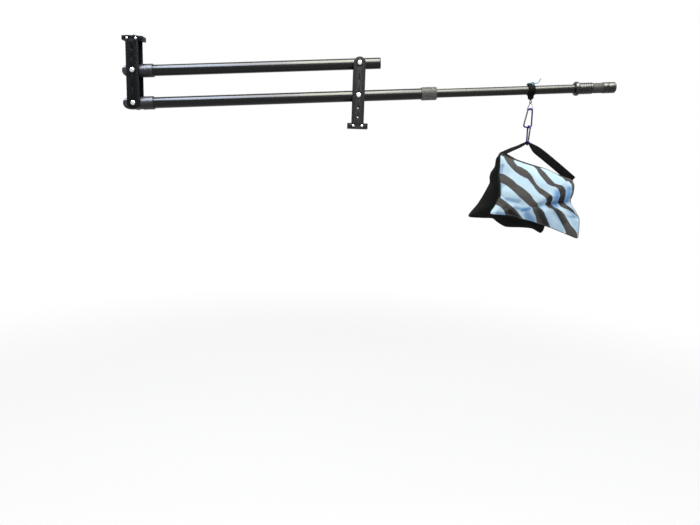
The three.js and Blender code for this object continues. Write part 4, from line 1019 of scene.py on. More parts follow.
def screw_eye():
    ring = [(x, 0, z) for x, z in circle(0, -EYE["drop"], EYE["radius"], 48)]
    loop = wire(ring, EYE["wire"], NICKEL_WIRE, closed=True)
    stem = rounded([
        (-30.4, 0), (-30.4, 1.5), (-28.8, 1.5), (-28.8, 3), (-27.8, 3), (-27.8, 1.5), (-19.5, 1.5),
        (-19.5, 0)], 0.2, "Z", 32)
    made = together([loop, stem])
    made.data.transform(Matrix.Rotation(EYE["turn"], 4, "Z"))
    return made


piece(screw_eye(), "screw_eye", NICKEL_WIRE, HOOK, "hook_eye", crisp=50)


KNOB = {"radius": 10, "height": 8, "flutes": 12, "flute": 1.3, "edge": 0.7}
STUD = {"radius": 3.1, "above": 5.5, "pitch": 1.27}


def camera_screw():
    """A fluted knob under the platform and a threaded stud."""
    top = UPPER_PIVOT - BLOCK["platform"] - SEAT
    outline = []
    for a in angles(144):
        reach = KNOB["radius"] - KNOB["flute"] * max(0.0, math.cos(KNOB["flutes"] * a)) ** 2
        outline.append((reach * math.cos(a), reach * math.sin(a)))
    knob = plate(outline, [], top - KNOB["height"], top, KNOB["edge"], upright=False)
    stud = thread_end(STUD["radius"], top - 1, UPPER_PIVOT + STUD["above"], STUD["pitch"])
    stud.data.transform(Matrix.Rotation(math.pi / 2, 4, "X"))
    return together([knob, stud])


piece(camera_screw(), "camera_thumbscrew", BLACK_OXIDE, HEAD, "camera_screw")


# Ring and carabiners

def belt_run(a, b):
    """The straight run of a belt from one circle (x, z, radius) to the next, anticlockwise: its
    normal's angle and both its ends."""
    heading = math.atan2(b[1] - a[1], b[0] - a[0])
    normal = heading - math.acos((a[2] - b[2]) / math.hypot(b[0] - a[0], b[1] - a[1]))
    ends = [(c[0] + c[2] * math.cos(normal), c[1] + c[2] * math.sin(normal)) for c in (a, b)]
    return normal, Vector(ends[0]), Vector(ends[1])


HOOK_MIDDLE = HOOK @ Vector((0, 0, -EYE["drop"] - EYE["radius"]))
RING = {"wire": 2.2, "width": 26, "drop": 19, "corner": 3, "slack": 0.05, "turn": math.radians(-66)}


def triangle_ring():
    r = RING
    apex = (0, 0, EYE["wire"] / 2 + SEAT + r["slack"] + r["wire"] / 2)
    reach = (r["width"] - r["wire"]) / 2 - r["corner"]
    left, right = ((x, r["corner"] - r["drop"], r["corner"]) for x in (-reach, reach))
    down, up = belt_run(apex, left)[0], belt_run(right, apex)[0]
    low = -math.pi / 2
    # The wire's ends almost meet in the middle of the lower side
    path = [(0.2, -r["drop"]), *arc(*right, low, up), *arc(*apex, up, down + FULL_TURN),
            *arc(*left, down, low if down < low else low + FULL_TURN), (-0.2, -r["drop"])]
    return wire([(x, 0, z) for x, z in path], r["wire"], NICKEL_WIRE)


RING_FRAME = Matrix.Translation(HOOK_MIDDLE) @ Matrix.Rotation(RING["turn"], 4, "Z")
piece(triangle_ring(), "wire_triangle", NICKEL_WIRE, RING_FRAME, "triangle_ring", crisp=50)

CLIP = {"wire": 4.6, "length": 60, "width": 28.6, "narrow": 7.3, "spine_corner": 8.5,
        "gate_corner": 5.5, "rise": 1.6, "gate": 4.4, "gap": 0.4, "tongue": 2, "tongue_length": 4.2,
        "tongue_width": 3.4, "slot": 5.6, "pin": 1.2, "front_stub": 1.5, "rear_stub": 1}
NARROW = (0, 0, CLIP["narrow"])
SPINE_BEND = (CLIP["narrow"] - CLIP["spine_corner"],
              CLIP["narrow"] + CLIP["spine_corner"] - (CLIP["length"] - CLIP["wire"]),
              CLIP["spine_corner"])
GATE_BEND = (CLIP["narrow"] - (CLIP["width"] - CLIP["wire"]) + CLIP["gate_corner"],
             SPINE_BEND[1] - SPINE_BEND[2] + CLIP["gate_corner"] + CLIP["rise"],
             CLIP["gate_corner"])
GATE_NORMAL, GATE_START, GATE_END = belt_run(NARROW, GATE_BEND)
GATE_LENGTH = (GATE_END - GATE_START).length
GATE_HEADING = (GATE_END - GATE_START).normalized()
# The gate's line as X, from the narrow bend
GATE_FRAME = Matrix.Translation((GATE_START.x, 0, GATE_START.y)) @ Matrix.Rotation(
    -math.atan2(GATE_HEADING.y, GATE_HEADING.x), 4, "Y")
FRAME_STOP, FRAME_START = CLIP["front_stub"], GATE_LENGTH - CLIP["rear_stub"]
GATE_FROM, GATE_TO = FRAME_STOP + CLIP["gap"], FRAME_START - CLIP["gap"]
PIN_PLACE = GATE_FROM + CLIP["gate"] / 2


def tongue(start, end):
    half = CLIP["tongue"] / 2
    width = CLIP["tongue_width"] / 2
    return edged(box((start, end), (-half, half), (-width, width)), 0.25)


def carabiner_frame():
    bottom, side = belt_run(GATE_BEND, SPINE_BEND)[0], belt_run(SPINE_BEND, NARROW)[0]
    first, last = GATE_START + GATE_HEADING * FRAME_START, GATE_START + GATE_HEADING * FRAME_STOP
    path = [tuple(first), *arc(*GATE_BEND, GATE_NORMAL, bottom), *arc(*SPINE_BEND, bottom, side),
            *arc(*NARROW, side, GATE_NORMAL + FULL_TURN), tuple(last)]
    loop = wire([(x, 0, z) for x, z in path], CLIP["wire"], BLUE_ANODISED)
    tongues = [tongue(FRAME_STOP - 2, FRAME_STOP + CLIP["tongue_length"]),
               tongue(FRAME_START - CLIP["tongue_length"], FRAME_START + 2)]
    for each in tongues:
        each.data.transform(GATE_FRAME)
    return together([loop, *tongues])


def carabiner_gate():
    """A rod with a rounded heel, slotted at both ends over the frame's tongues."""
    radius = CLIP["gate"] / 2
    heel = [(GATE_FROM + radius * (1 - math.cos(a)), radius * math.sin(a))
            for a in (math.pi / 2 * k / 8 for k in range(9))]
    rod = turned(heel + [(GATE_TO - 0.4, radius), (GATE_TO, radius - 0.4), (GATE_TO, 0)], "X", 32)
    half = CLIP["tongue"] / 2 + SEAT
    slots = [box(xs, (-half, half), (-3, 3)) for xs in (
        (GATE_FROM - 1, GATE_FROM + CLIP["slot"]), (GATE_TO - CLIP["slot"], GATE_TO + 1))]
    gate = edged(worked(rod, "DIFFERENCE", *slots), 0.15)
    gate.data.transform(GATE_FRAME)
    return gate


def gate_pin():
    half, radius = CLIP["gate"] / 2 - 0.05, CLIP["pin"] / 2
    pin = rounded([(-half, 0), (-half, radius), (half, radius), (half, 0)], 0.2, "Y", 20)
    moved(pin, PIN_PLACE, 0, 0).data.transform(GATE_FRAME)
    return pin


def hang(place, top, foot, turn, word):
    """Hangs a carabiner at a place by one rest, with the other straight below it."""
    drop = Vector(foot) - Vector(top)
    tilt = math.atan2(drop.x, -drop.y)
    where = (Matrix.Translation(place) @ Matrix.Rotation(math.radians(turn), 4, "Z")
             @ Matrix.Rotation(tilt, 4, "Y") @ Matrix.Translation((-top[0], 0, -top[1])))
    for shape, coat, name, node in (
            (carabiner_frame(), BLUE_ANODISED, "loop", "frame"),
            (gate_pin(), NICKEL_WIRE, "hinge_pin", "pin"),
            (carabiner_gate(), NICKEL_WIRE, "sprung_gate", "gate")):
        piece(shape, f"{word}_carabiner_{name}", coat, where, f"{word}_carabiner_{node}")
    return place - Vector((0, 0, drop.length))


CLIP_RADIUS = CLIP["wire"] / 2
WIDE_FOOT = SPINE_BEND[1] - SPINE_BEND[2]
upper_hang = HOOK_MIDDLE - Vector((0, 0, RING["drop"]))
lower_hang = hang(upper_hang, (0, CLIP["narrow"] - CLIP_RADIUS - SEAT - RING["wire"] / 2),
                  (SPINE_BEND[0], WIDE_FOOT), 6, "upper")
bag_hang = hang(lower_hang, (SPINE_BEND[0], WIDE_FOOT + 2 * CLIP_RADIUS + SEAT),
                (0, CLIP["narrow"]), -90, "lower")

# CAD pieces that stay as they are, with a finish
for name in ("lock_collet", "extension_bush"):
    frame["nodes"][name].data.materials.clear()
    frame["nodes"][name].data.materials.append(TURNED_NYLON)

# Saddle bag, drawn from the place that it hangs on. Its pouches were shaped in code: a filled
# shell with a stitched rim, then folds pressed into it one by one.

BAG = Matrix.Translation(bag_hang)
BAG_SIZE = np.array((340, 290))
PANEL = {"width": 50, "thick": 5, "ends": ((-79.9, -29.58), (134.3, -98.02))}
POUCH = {"splay": 12, "hem": 10, "rim": 0.9, "tape": 1.5, "tape_on_rim": 0.8, "tape_on_left": 6.0,
         "tape_on_top": 3.4, "rings": 56, "points": 420}
# How far the cloth's rim sways and over what length, how wide a strip the upper seam draws in, and
# the size of the large and small crumples
CLOTH = {"sway": 1.6, "sway_size": 60, "drawn_in": 14, "crumple": 46, "small_crumple": 17}
# Printed stripes of the near pouch: the outline of each
STRIPES = [
    [(-94, -26), (-75, -30), (-52, -38), (-47, -45), (-44, -54), (-36, -63), (-26, -66), (-18, -70),
     (-7, -76), (2, -85), (9, -94), (15, -105), (23, -116), (32, -124), (45, -131), (59, -139),
     (69, -146), (74, -154), (73, -164), (74, -174), (80, -181), (93, -186), (105, -194),
     (116, -204), (124, -216), (136, -233), (149, -245), (161, -259), (167, -281), (130, -267),
     (121, -249), (111, -235), (101, -219), (93, -207), (85, -196), (74, -186), (60, -182),
     (55, -174), (56, -164), (52, -155), (43, -148), (31, -141), (20, -130), (12, -119), (2, -108),
     (-5, -100), (-18, -95), (-29, -90), (-44, -80), (-60, -66), (-69, -56), (-75, -46), (-79, -38),
     (-94, -32)],
    [(7, -54), (31, -62), (41, -73), (49, -80), (57, -90), (68, -102), (77, -111), (90, -114),
     (101, -116), (110, -122), (114, -130), (113, -141), (111, -154), (113, -166), (121, -175),
     (132, -181), (143, -189), (150, -199), (166, -210), (153, -205), (144, -198), (135, -193),
     (124, -187), (111, -184), (99, -178), (94, -168), (93, -157), (96, -144), (94, -135),
     (88, -126), (79, -121), (68, -119), (55, -113), (45, -102), (34, -90), (27, -80), (23, -71),
     (15, -64), (6, -59)],
    [(-103, -85), (-86, -87), (-75, -89), (-63, -96), (-50, -105), (-38, -116), (-22, -125),
     (-8, -135), (6, -147), (16, -160), (24, -168), (31, -172), (34, -182), (43, -189), (50, -197),
     (55, -207), (62, -217), (69, -230), (80, -245), (80, -256), (40, -244), (36, -233), (32, -222),
     (26, -208), (19, -196), (14, -185), (9, -182), (-2, -174), (-15, -164), (-29, -154),
     (-41, -143), (-54, -132), (-68, -121), (-78, -116), (-88, -113), (-103, -112)],
    [(-97, -150), (-85, -155), (-78, -160), (-66, -169), (-54, -178), (-40, -188), (-30, -196),
     (-21, -207), (-10, -217), (-3, -225), (-7, -235), (-57, -219), (-63, -207), (-69, -197),
     (-78, -188), (-88, -182), (-97, -178), (-106, -177)],
    [(90, -79), (93, -88), (105, -94), (113, -103), (124, -104), (131, -112), (134, -121),
     (134, -132), (132, -144), (128, -155), (155, -157), (155, -88), (124, -79)],
]
NEAR = {
    "side": -1, "belly": 31, "middle": (-0.08, -0.52), "seed": 3, "noise": 0.8,
    "outline": [
        (-0.26, -0.094), (-0.141, -0.145), (0.03, -0.202), (0.172, -0.245), (0.25, -0.284),
        (0.337, -0.318), (0.395, -0.338), (0.418, -0.396), (0.411, -0.482), (0.393, -0.548),
        (0.403, -0.602), (0.446, -0.666), (0.486, -0.747), (0.489, -0.862), (0.482, -0.943),
        (0.385, -0.905), (0.238, -0.843), (0.117, -0.804), (-0.023, -0.765), (-0.176, -0.727),
        (-0.317, -0.715), (-0.276, -0.627), (-0.252, -0.539), (-0.257, -0.421), (-0.267, -0.315),
        (-0.266, -0.208)],
    # Folds: a line from one point to another, its half width, and how far it stands out
    "folds": [
        (16, -180, 142, -160, 5, -9), (30, -158, 136, -143, 13, 6), (-60, -130, 40, -150, 30, 4),
        (34, -194, 156, -182, 12, 4), (-86, -153, -10, -178, 6, -6), (-80, -136, 0, -158, 13, 4),
        (-10, -190, -90, -180, 9, 4), (-80, -62, -86, -92, 5, -4), (-74, -122, -82, -148, 5, -4),
        (-84, -36, -58, -78, 10, 3), (-50, -40, -34, -66, 4, -3), (94, -190, 152, -262, 15, 4),
        (66, -192, 104, -252, 10, -4), (44, -196, 70, -236, 9, 3), (-70, -190, -104, -204, 9, 3),
        (128, -104, 92, -140, 7, -3), (118, -208, 164, -214, 4, -3), (-30, -186, -64, -206, 8, -3),
        (60, -98, 92, -124, 8, 2), (0, -80, 40, -118, 10, 2.5), (-88, -110, -40, -108, 12, 2),
        (86, -122, 84, -152, 8, 2.5), (70, -150, 74, -176, 7, -2)],
    # Painted shade laid along the folds: a line, its half width, and its strength
    "painted_shades": [
        (88, -142, 85, -172, 13, 0.85), (104, -134, 104, -166, 9, 0.8),
        (124, -128, 120, -160, 12, 0.85), (38, -172, 62, -158, 8, 0.55),
        (66, -154, 68, -174, 8, 0.8), (-62, -163, -28, -166, 7, 0.5), (-38, -186, -2, -192, 6, 0.6),
        (-14, -193, 6, -188, 6, 0.8), (2, -206, 22, -224, 12, 0.75), (-82, -64, -84, -90, 5, 0.5),
        (-82, -118, -82, -150, 5, 0.5), (-86, -206, -64, -208, 7, 0.7),
        (60, -214, 112, -254, 14, 0.25), (142, -214, 160, -244, 12, 0.3),
        (124, -211, 160, -209, 4, 0.3), (-84, -166, -66, -180, 9, 0.4),
        (-50, -200, -28, -216, 11, 0.95), (36, -196, 62, -236, 12, 0.75),
        (88, -196, 112, -224, 10, 0.6), (124, -182, 146, -200, 8, 0.5),
        (30, -182, 76, -184, 5, 0.3)],
    "wedge": ((11, -179), (-12, -226), (41, -240), 11), "stripes": STRIPES}
FAR = {
    "side": 1, "belly": 40, "middle": (-0.15, -0.57), "seed": 8, "noise": 1.5,
    "outline": [
        (-0.184, -0.088), (-0.238, -0.14), (-0.248, -0.235), (-0.28, -0.3), (-0.286, -0.35),
        (-0.28, -0.405), (-0.322, -0.515), (-0.375, -0.64), (-0.456, -0.773), (-0.332, -0.786),
        (-0.229, -0.788), (-0.182, -0.826), (-0.1, -0.875), (0.029, -0.877), (0.148, -0.884),
        (0.236, -0.933), (0.262, -0.86), (0.2, -0.72), (0.15, -0.58), (0.2, -0.43), (0.37, -0.345),
        (0.25, -0.285), (0.1, -0.22), (-0.05, -0.16)],
    "folds": [
        (-84, -98, -60, -128, 7, -4), (-100, -120, -40, -124, 8, -4),
        (-140, -216, -70, -190, 10, -3.5), (-120, -190, -60, -150, 12, 3),
        (-60, -236, -20, -200, 9, -3), (20, -246, 0, -190, 10, 3), (60, -256, 20, -200, 8, -3),
        (-70, -60, -40, -120, 10, 3)],
    "painted_shades": [], "wedge": None, "stripes": []}


def to_segment(points, start, end):
    """How far along a segment and how far to its left points are, in its length and in mm."""
    start, end = np.array(start, float), np.array(end, float)
    run = end - start
    length = np.linalg.norm(run)
    offset = points - start
    return offset @ run / length ** 2, (run[0] * offset[:, 1] - run[1] * offset[:, 0]) / length


def depth_inside(points, outline):
    """How far inside a closed outline each point is, in mm; negative outside."""
    corners = np.array(outline, float)
    nearest = np.full(len(points), 1e9)
    inside = np.zeros(len(points), bool)
    for start, end in zip(corners, np.roll(corners, -1, axis=0)):
        share, _ = to_segment(points, start, end)
        foot = start + (end - start) * np.clip(share, 0, 1)[:, None]
        nearest = np.minimum(nearest, np.linalg.norm(points - foot, axis=1))
        if start[1] != end[1]:
            slope = (end[0] - start[0]) / (end[1] - start[1])
            crossing = start[0] + (points[:, 1] - start[1]) * slope
            spanned = (start[1] > points[:, 1]) != (end[1] > points[:, 1])
            inside ^= spanned & (points[:, 0] < crossing)
    return np.where(inside, nearest, -nearest)


def soft_noise(points, size, seed):
    """Smooth seeded waves of about one size, from -1 to 1."""
    dice = np.random.default_rng(seed)
    total = np.zeros(len(points))
    for _ in range(7):
        heading, phase = dice.uniform(0, FULL_TURN, 2)
        wave = FULL_TURN / (size * dice.uniform(0.75, 1.5))
        total += np.sin(points @ np.array((math.cos(heading), math.sin(heading))) * wave + phase)
    return total / 3.5


def closed_resample(points, count):
    loop = np.vstack([points, points[:1]])
    lengths = np.concatenate([[0], np.cumsum(np.linalg.norm(np.diff(loop, axis=0), axis=1))])
    places = np.linspace(0, lengths[-1], count, endpoint=False)
    return np.column_stack([np.interp(places, lengths, loop[:, i]) for i in range(2)])


class Pouch:
    """A filled pouch: skins spread from a middle to a rim, in the plane of its outline."""

    def __init__(self, facts):
        self.facts = facts
        corners = np.array(facts["outline"]) * BAG_SIZE
        straight = closed_resample(corners, POUCH["points"])
        # Halfway between the straight-edged outline and a smooth one, so that tips stay sharp
        smooth = spline(corners, 16, closed=True)
        gaps = np.linalg.norm(straight[:, None] - smooth[None], axis=2)
        self.rim = 0.4 * straight + 0.6 * smooth[gaps.argmin(axis=1)]
        self.rim = (np.roll(self.rim, 1, 0) + 2 * self.rim + np.roll(self.rim, -1, 0)) / 4
        self.middle = np.array(facts["middle"]) * BAG_SIZE
        # Black tape is folded over the left and upper edges
        left = (self.rim[:, 0] < -60) & (self.rim[:, 1] > -160)
        _, above = to_segment(self.rim, *PANEL["ends"])
        top = np.clip((45 - self.rim[:, 0]) / 25, 0, 1) * (above > -9)
        narrow = POUCH["tape_on_rim"]
        self.tape = np.maximum(np.where(left, POUCH["tape_on_left"], narrow),
                               narrow + (POUCH["tape_on_top"] - narrow) * top)

    def folds(self, points):
        total = np.zeros(len(points))
        for x0, z0, x1, z1, width, height in self.facts["folds"]:
            share, beside = to_segment(points, (x0, z0), (x1, z1))
            ends = np.exp(-np.clip(np.abs(share - 0.5) - 0.36, 0, None) ** 2 / 0.02)
            total += height * ends * np.exp(-(beside / width) ** 2)
        if self.facts["wedge"]:
            # A corner tucked under: it falls back from its left crease to its right one
            tip, left, right, depth = self.facts["wedge"]
            _, past_left = to_segment(points, tip, left)
            _, past_right = to_segment(points, tip, right)
            below = np.clip((tip[1] - points[:, 1]) / 34, 0, 1)
            total -= depth * below * np.clip(past_left / 5, 0, 1) * np.clip(-past_right / 3, 0, 1)
        return total

    def painted_shade(self, points):
        """How much painted shade the folds lay on each point, from 0 to 1."""
        light = np.ones(len(points))
        for x0, z0, x1, z1, width, strength in self.facts["painted_shades"]:
            share, beside = to_segment(points, (x0, z0), (x1, z1))
            length = math.hypot(x1 - x0, z1 - z0)
            past = np.clip(np.abs(share - 0.5) - 0.5, 0, None) * length
            light *= 1 - strength * np.exp(-((beside ** 2 + past ** 2) / width ** 2) ** 1.5)
        return 1 - light

    def skin(self, points, share, outward):
        """Places on the pouch's outer or inner face, for points of its outline plane."""
        facts = self.facts
        side = facts["side"]
        centre = side * (PANEL["width"] / 2 + SEAT + POUCH["hem"] / 2
                         - POUCH["splay"] * points[:, 1] / BAG_SIZE[1])
        # The top edge is drawn in to the panel, so that its tape just meets the panel's edge
        _, above = to_segment(points, *PANEL["ends"])
        sewn_in = np.exp(-(np.clip(-above, 0, None) / CLOTH["drawn_in"]) ** 2) * share ** 4
        seam = side * (PANEL["width"] / 2 + SEAT + POUCH["tape"])
        sway = soft_noise(points, CLOTH["sway_size"], facts["seed"])
        centre += CLOTH["sway"] * side * share ** 3 * sway
        centre += sewn_in * (seam - centre)
        rise = facts["belly"] / 2 - 1 - POUCH["rim"]
        full = POUCH["rim"] + rise * np.clip(1 - share ** 2.4, 0, 1) ** 0.6
        soft = np.clip(1 - share ** 6, 0, 1)
        large = soft_noise(points, CLOTH["crumple"], facts["seed"] + 1)
        small = soft_noise(points, CLOTH["small_crumple"], facts["seed"] + 2)
        crumple = facts["noise"] * soft * (large + 0.35 * small)
        fold = self.folds(points) * (0.45 + 0.55 * soft)
        if outward:
            out = full + crumple + fold
        else:
            out = -(full * 0.8 + crumple * 0.5)
        return np.column_stack([points[:, 0], centre + side * out, points[:, 1]])

    def mesh(self, name):
        reach = np.linalg.norm(self.rim - self.middle, axis=1)
        shares = np.linspace(0, 1, POUCH["rings"] + 1) ** 0.8
        rings, flats, tapes, painted_shades = [], [], [], []
        for outward, order in ((True, shares), (False, shares[::-1])):
            for share in order:
                points = self.middle + (self.rim - self.middle) * share
                tape = self.tape - (1 - share) * reach
                if share == 0:
                    points, tape = points[:1], tape[:1]
                rings.append(self.skin(points, np.full(len(points), share), outward))
                flats.append(points)
                tapes.append(tape)
                painted_shades.append(self.painted_shade(points) if outward else np.zeros(len(points)))
        made = skinned(name, rings, flats)
        flat = np.vstack(flats)
        unprinted = np.full(len(flat), -9.0)
        prints = [depth_inside(flat, outline) for outline in self.facts["stripes"]]
        # Point attributes for the finish: where the print and tape lie, and the painted shade of
        # the folds on the outer face
        for label, values in (("stripe", np.max([unprinted, *prints], axis=0)),
                              ("tape", np.concatenate(tapes)), ("painted_shade", np.concatenate(painted_shades))):
            layer = made.data.attributes.new(label, "FLOAT", "POINT")
            layer.data.foreach_set("value", values.astype(np.float32))
        return made

    def inset(self, distance, lift, outward=True):
        """A line on the pouch, some way in from its rim."""
        reach = np.linalg.norm(self.rim - self.middle, axis=1)
        share = 1 - distance / reach
        points = self.middle + (self.rim - self.middle) * share[:, None]
        places = self.skin(points, share, outward)
        places[:, 1] += self.facts["side"] * lift
        return places


def sewn(points, coat, closed=True, thread=0.6, seed=1):
    return grown(line_of([tuple(p) for p in points], closed), STITCHES, coat,
                 Pitch=4.2, Length=3.0, Thread=thread, Seed=seed)


for word, facts, coat, thread, fill in (
        ("near", NEAR, STRIPED_CLOTH, GREY_THREAD, 0.25),
        ("far", FAR, BLACK_CLOTH, BLACK_THREAD, 0.35)):
    pouch = Pouch(facts)
    filled = piece(pouch.mesh(word), f"{word}_filled_pouch", coat, BAG, f"bag_{word}_pouch",
                   crisp=180)
    rim = (pouch.inset(0.6, 0) + pouch.inset(0.6, 0, False)) / 2
    tape = swept(rim[::2], POUCH["tape"], 12, closed=True)
    piece(tape, f"{word}_pouch_binding", BINDING_TAPE, BAG, body="bag", crisp=60)
    piece(sewn(pouch.inset(4.5, 0.15), thread), f"{word}_pouch_seam", thread, BAG, body="bag")


PANEL_LENGTH = math.dist(*PANEL["ends"])
(x, z), (far_x, far_z) = PANEL["ends"]
PANEL_FRAME = (BAG @ Matrix.Translation((x, 0, z - PANEL["thick"] / 2))
               @ Matrix.Rotation(-math.atan2(far_z - z, far_x - x), 4, "Y"))


def saddle_panel():
    """A padded panel that sags a little between its sewn edges."""
    rows, columns, half_width = 110, 30, PANEL["width"] / 2
    along, across = np.linspace(0, PANEL_LENGTH, rows), np.linspace(-1, 1, columns)
    a, c = (grid.ravel() for grid in np.meshgrid(along, across, indexing="ij"))
    points = np.column_stack([a, c * half_width])
    from_edge = np.minimum(np.minimum(a, PANEL_LENGTH - a), (1 - np.abs(c)) * half_width)
    full = np.sqrt(np.clip(1 - (1 - np.clip(from_edge / 6, 0, 1)) ** 2, 0, 1))
    padding = (PANEL["thick"] / 2 - 0.1) * (0.12 + 0.88 * full)
    sag = 0.9 * (1 - c ** 2) * (1 + 0.5 * soft_noise(points, 50, 21))
    crumple = 0.25 * full * soft_noise(points, 14, 22)
    sheets = [np.column_stack([a, points[:, 1] * 0.998, height])
              for height in (padding - sag + crumple, crumple - padding)]
    over, under, flat = (sheet.reshape(rows, columns, -1) for sheet in (*sheets, points))
    return skinned("panel", np.hstack([over, under[:, ::-1]]), np.hstack([flat, flat[:, ::-1]]))


panel = piece(saddle_panel(), "saddle_panel", BLACK_CLOTH, PANEL_FRAME, "bag_saddle_panel",
              crisp=60)
seam_ends, seam_side = (6, PANEL_LENGTH - 6), PANEL["width"] / 2 - 3.5
seams = [sewn([(x, y, PANEL["thick"] / 2 - 0.35) for x in seam_ends], BLACK_THREAD, False)
         for y in (-seam_side, seam_side)]
piece(together(seams), "panel_seams", BLACK_THREAD, PANEL_FRAME, body="bag")


# Webbing handle: gathered over the carabiner's wire, flat and stitched on both sides of it
HANDLE = {"half_width": 12.5, "half_thick": 1.3, "neck": 4.25, "squareness": 0.7,
          "spread": (22, -28), "sides": 56}
# Its runs up to the wire and down again: places as shares of the bag's size, the webbing's twist in
# degrees, and how flat it lies
LEFT_RUN = [(-0.228, -0.107, 20, 1), (-0.145, -0.058, 18, 1), (-0.075, -0.022, 14, 0.85),
            (-0.032, 0.006, 6, 0.4)]
RIGHT_RUN = [(0.034, -0.002, 45, 0.5), (0.078, -0.043, 78, 0.92), (0.15, -0.1, 88, 1),
             (0.268, -0.2, 90, 1), (0.353, -0.274, 90, 1), (0.438, -0.35, 90, 1)]


def handle_stations():
    """Rows of (x, z, twist, flatness) along the handle."""
    reach = CLIP_RADIUS + SEAT + HANDLE["neck"]
    neck = [(reach * math.cos(a), reach * math.sin(a), 0, 0)
            for a in np.radians(90 + np.linspace(*HANDLE["spread"], 6))]
    left, right = ([(x * BAG_SIZE[0], z * BAG_SIZE[1], twist, flat) for x, z, twist, flat in run]
                   for run in (LEFT_RUN, RIGHT_RUN))
    return spline([*left, *neck, *right], 9)


def handle_sections():
    """The handle's cross-sections, and the place on the webbing of each of their points."""
    stations = handle_stations()
    sections, places, length = [], [], 0
    for i, (x, z, twist, flat) in enumerate(stations):
        before, after = stations[max(i - 1, 0)], stations[min(i + 1, len(stations) - 1)]
        ahead = Vector((after[0] - before[0], 0, after[1] - before[1])).normalized()
        across = Matrix.Rotation(math.radians(twist), 3, ahead) @ Vector((0, 1, 0))
        through = ahead.cross(across)
        flat = min(max(flat, 0), 1)
        half_width, half_thick = (HANDLE["neck"] * (1 - flat) + HANDLE[half] * flat
                                  for half in ("half_width", "half_thick"))
        power = 1 - HANDLE["squareness"] * flat
        length += math.hypot(x - before[0], z - before[1])
        section = []
        for a in angles(HANDLE["sides"]):
            wide, thick = (math.copysign(abs(s) ** power, s) for s in (math.cos(a), math.sin(a)))
            # Gathers: the webbing's width lies in pleats where it isn't flat
            pleat = (1 - flat) * (0.3 * math.cos(6 * a) - 0.24)
            wave = 2.88 * flat * (1 - flat) * math.sin(3.2 * wide * math.pi)
            sway = 0.3 * flat * math.sin(length / 17 + 1.3 * wide) * (1 - abs(wide))
            section.append(Vector((x, 0, z)) + across * (half_width + pleat) * wide
                           + through * ((half_thick + pleat) * thick + wave + sway))
        sections.append(section)
        places.append([(HANDLE["half_width"] * math.cos(a), length)
                       for a in angles(HANDLE["sides"])])
    return sections, places


def handle_strap(sections, places):
    """The handle, cut where it meets the panel."""
    half_width, half_thick = PANEL["width"] / 2 + SEAT, PANEL["thick"] / 2 + SEAT
    slab = box((-SEAT, PANEL_LENGTH + SEAT), (-half_width, half_width), (-half_thick, half_thick))
    slab.data.transform(BAG.inverted() @ PANEL_FRAME)
    return worked(skinned("handle", sections, places), "DIFFERENCE", slab)


sections, places = handle_sections()
piece(handle_strap(sections, places), "webbing_handle", WEBBING, BAG, "bag_handle_strap", crisp=50)
seams = [sewn([section[k] for section in sections[-34:-4]], BLACK_THREAD, False, 0.5, k)
         for k in (6, 22, 34, 50)]  # beside both edges, on both faces
piece(together(seams), "handle_seams", BLACK_THREAD, BAG, body="bag")


# Stage: pale floor, soft light, white surroundings

# Heights in metres: where the feet of what carries the crane would stand, and the strip lamps
FLOOR, STRIPS_HEIGHT = -1.12, 1.55


def white_for_sight(tree, plain, lit_share):
    """White, by a share, where it is seen straight or in a reflection; plain in all other light."""
    path = add(tree, "ShaderNodeLightPath").outputs
    seen = path["Is Camera Ray"]
    for ray in ("Is Glossy Ray", "Is Transmission Ray"):
        seen = add(tree, "ShaderNodeMath", {"operation": "MAXIMUM"}, {0: seen, 1: path[ray]})
    share = add(tree, "ShaderNodeMath", {"operation": "MULTIPLY"}, {0: seen, 1: lit_share})
    kind = "ShaderNodeBackground" if plain.type == "BACKGROUND" else "ShaderNodeEmission"
    white = add(tree, kind, {}, {"Color": linear("#ffffff"), "Strength": 1.0})
    return add(tree, "ShaderNodeMixShader", {}, {0: share, 1: plain, 2: white})


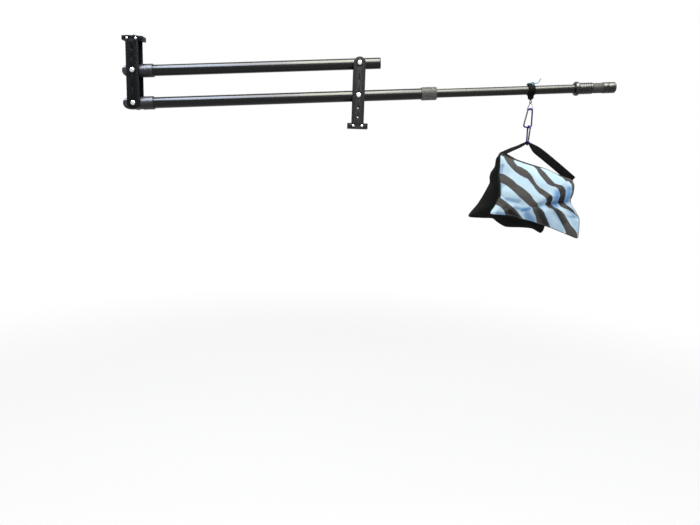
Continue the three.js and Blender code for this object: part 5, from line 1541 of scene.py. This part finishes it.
def stage():
    paint = bpy.data.materials.new("pale floor paint")
    tree = bare_tree(paint)
    matt = add(tree, "ShaderNodeBsdfDiffuse", {}, {"Color": linear("#f4f4f2")})
    # Near the object a part of the floor's white comes from the light, so that its shadow shows
    away = add(tree, "ShaderNodeVectorMath", {"operation": "LENGTH"}, {
        0: add(tree, "ShaderNodeTexCoord").outputs["Object"]}).outputs["Value"]
    share = add(tree, "ShaderNodeMapRange", {"interpolation_type": "SMOOTHSTEP"}, {
        "Value": away, "From Min": 1.6, "From Max": 3.2, "To Min": 0.7, "To Max": 1.0})
    add(tree, "ShaderNodeOutputMaterial", {}, {"Surface": white_for_sight(tree, matt, share)})
    half = 9
    mesh = bpy.data.meshes.new("floor")
    mesh.from_pydata([(x, y, FLOOR) for x in (-half, half) for y in (-half, half)],
                     [], [(0, 2, 3, 1)])
    mesh.materials.append(paint)
    linked("floor", mesh)

    scene.world = bpy.data.worlds.new("soft surroundings")
    tree = bare_tree(scene.world)
    soft = add(tree, "ShaderNodeBackground", {}, {"Color": linear("#f7f9ff"), "Strength": 0.42})
    add(tree, "ShaderNodeOutputWorld", {}, {"Surface": white_for_sight(tree, soft, 1.0)})


def lamp(name, place, aim, size, radiance, colour, only_in_gloss=False):
    """A rectangular soft lamp at a place, aimed at another, with its two sizes, in metres."""
    data = bpy.data.lights.new(name, "AREA")
    data.shape, data.size, data.size_y = "RECTANGLE", *size
    data.energy = radiance * math.pi * size[0] * size[1]
    data.color = linear(colour)[:3]
    made = linked(name, data)
    facing = (Vector(aim) - Vector(place)).to_track_quat("-Z", "Y")
    made.matrix_world = Matrix.LocRotScale(Vector(place), facing, None)
    made.visible_camera = False
    made.visible_diffuse = not only_in_gloss


stage()
lamp("overhead softbox", (0, -0.5, 1.9), (0, -0.1, 0), (3.6, 1.7), 4.0, "#ffffff")
lamp("front fill", (0.4, -3.2, 0.9), (0.1, 0, -0.05), (2.4, 1.4), 1.2, "#ffffff")
# A row of strip lamps seen only in glossy skins draws the bright line along the tubes: where
# each starts and ends along X and across Y, its radiance and its colour
for left, right, front, back, radiance, colour in (
        (-1.60, -0.78, -2.10, -0.05, 33, "#dfeaff"), (-0.78, -0.33, -2.10, -0.10, 25, "#f2f5fa"),
        (-0.33, 0.42, -2.10, -0.10, 34, "#fafceb"), (0.42, 0.80, -2.45, -0.10, 21, "#fafbee"),
        (0.80, 1.40, -2.45, -0.10, 28, "#fafbee")):
    middle, size = ((left + right) / 2, (front + back) / 2), (right - left, back - front)
    lamp("strip", (*middle, STRIPS_HEIGHT), (*middle, 0), size, radiance, colour, True)

scene.view_settings.view_transform = "Standard"
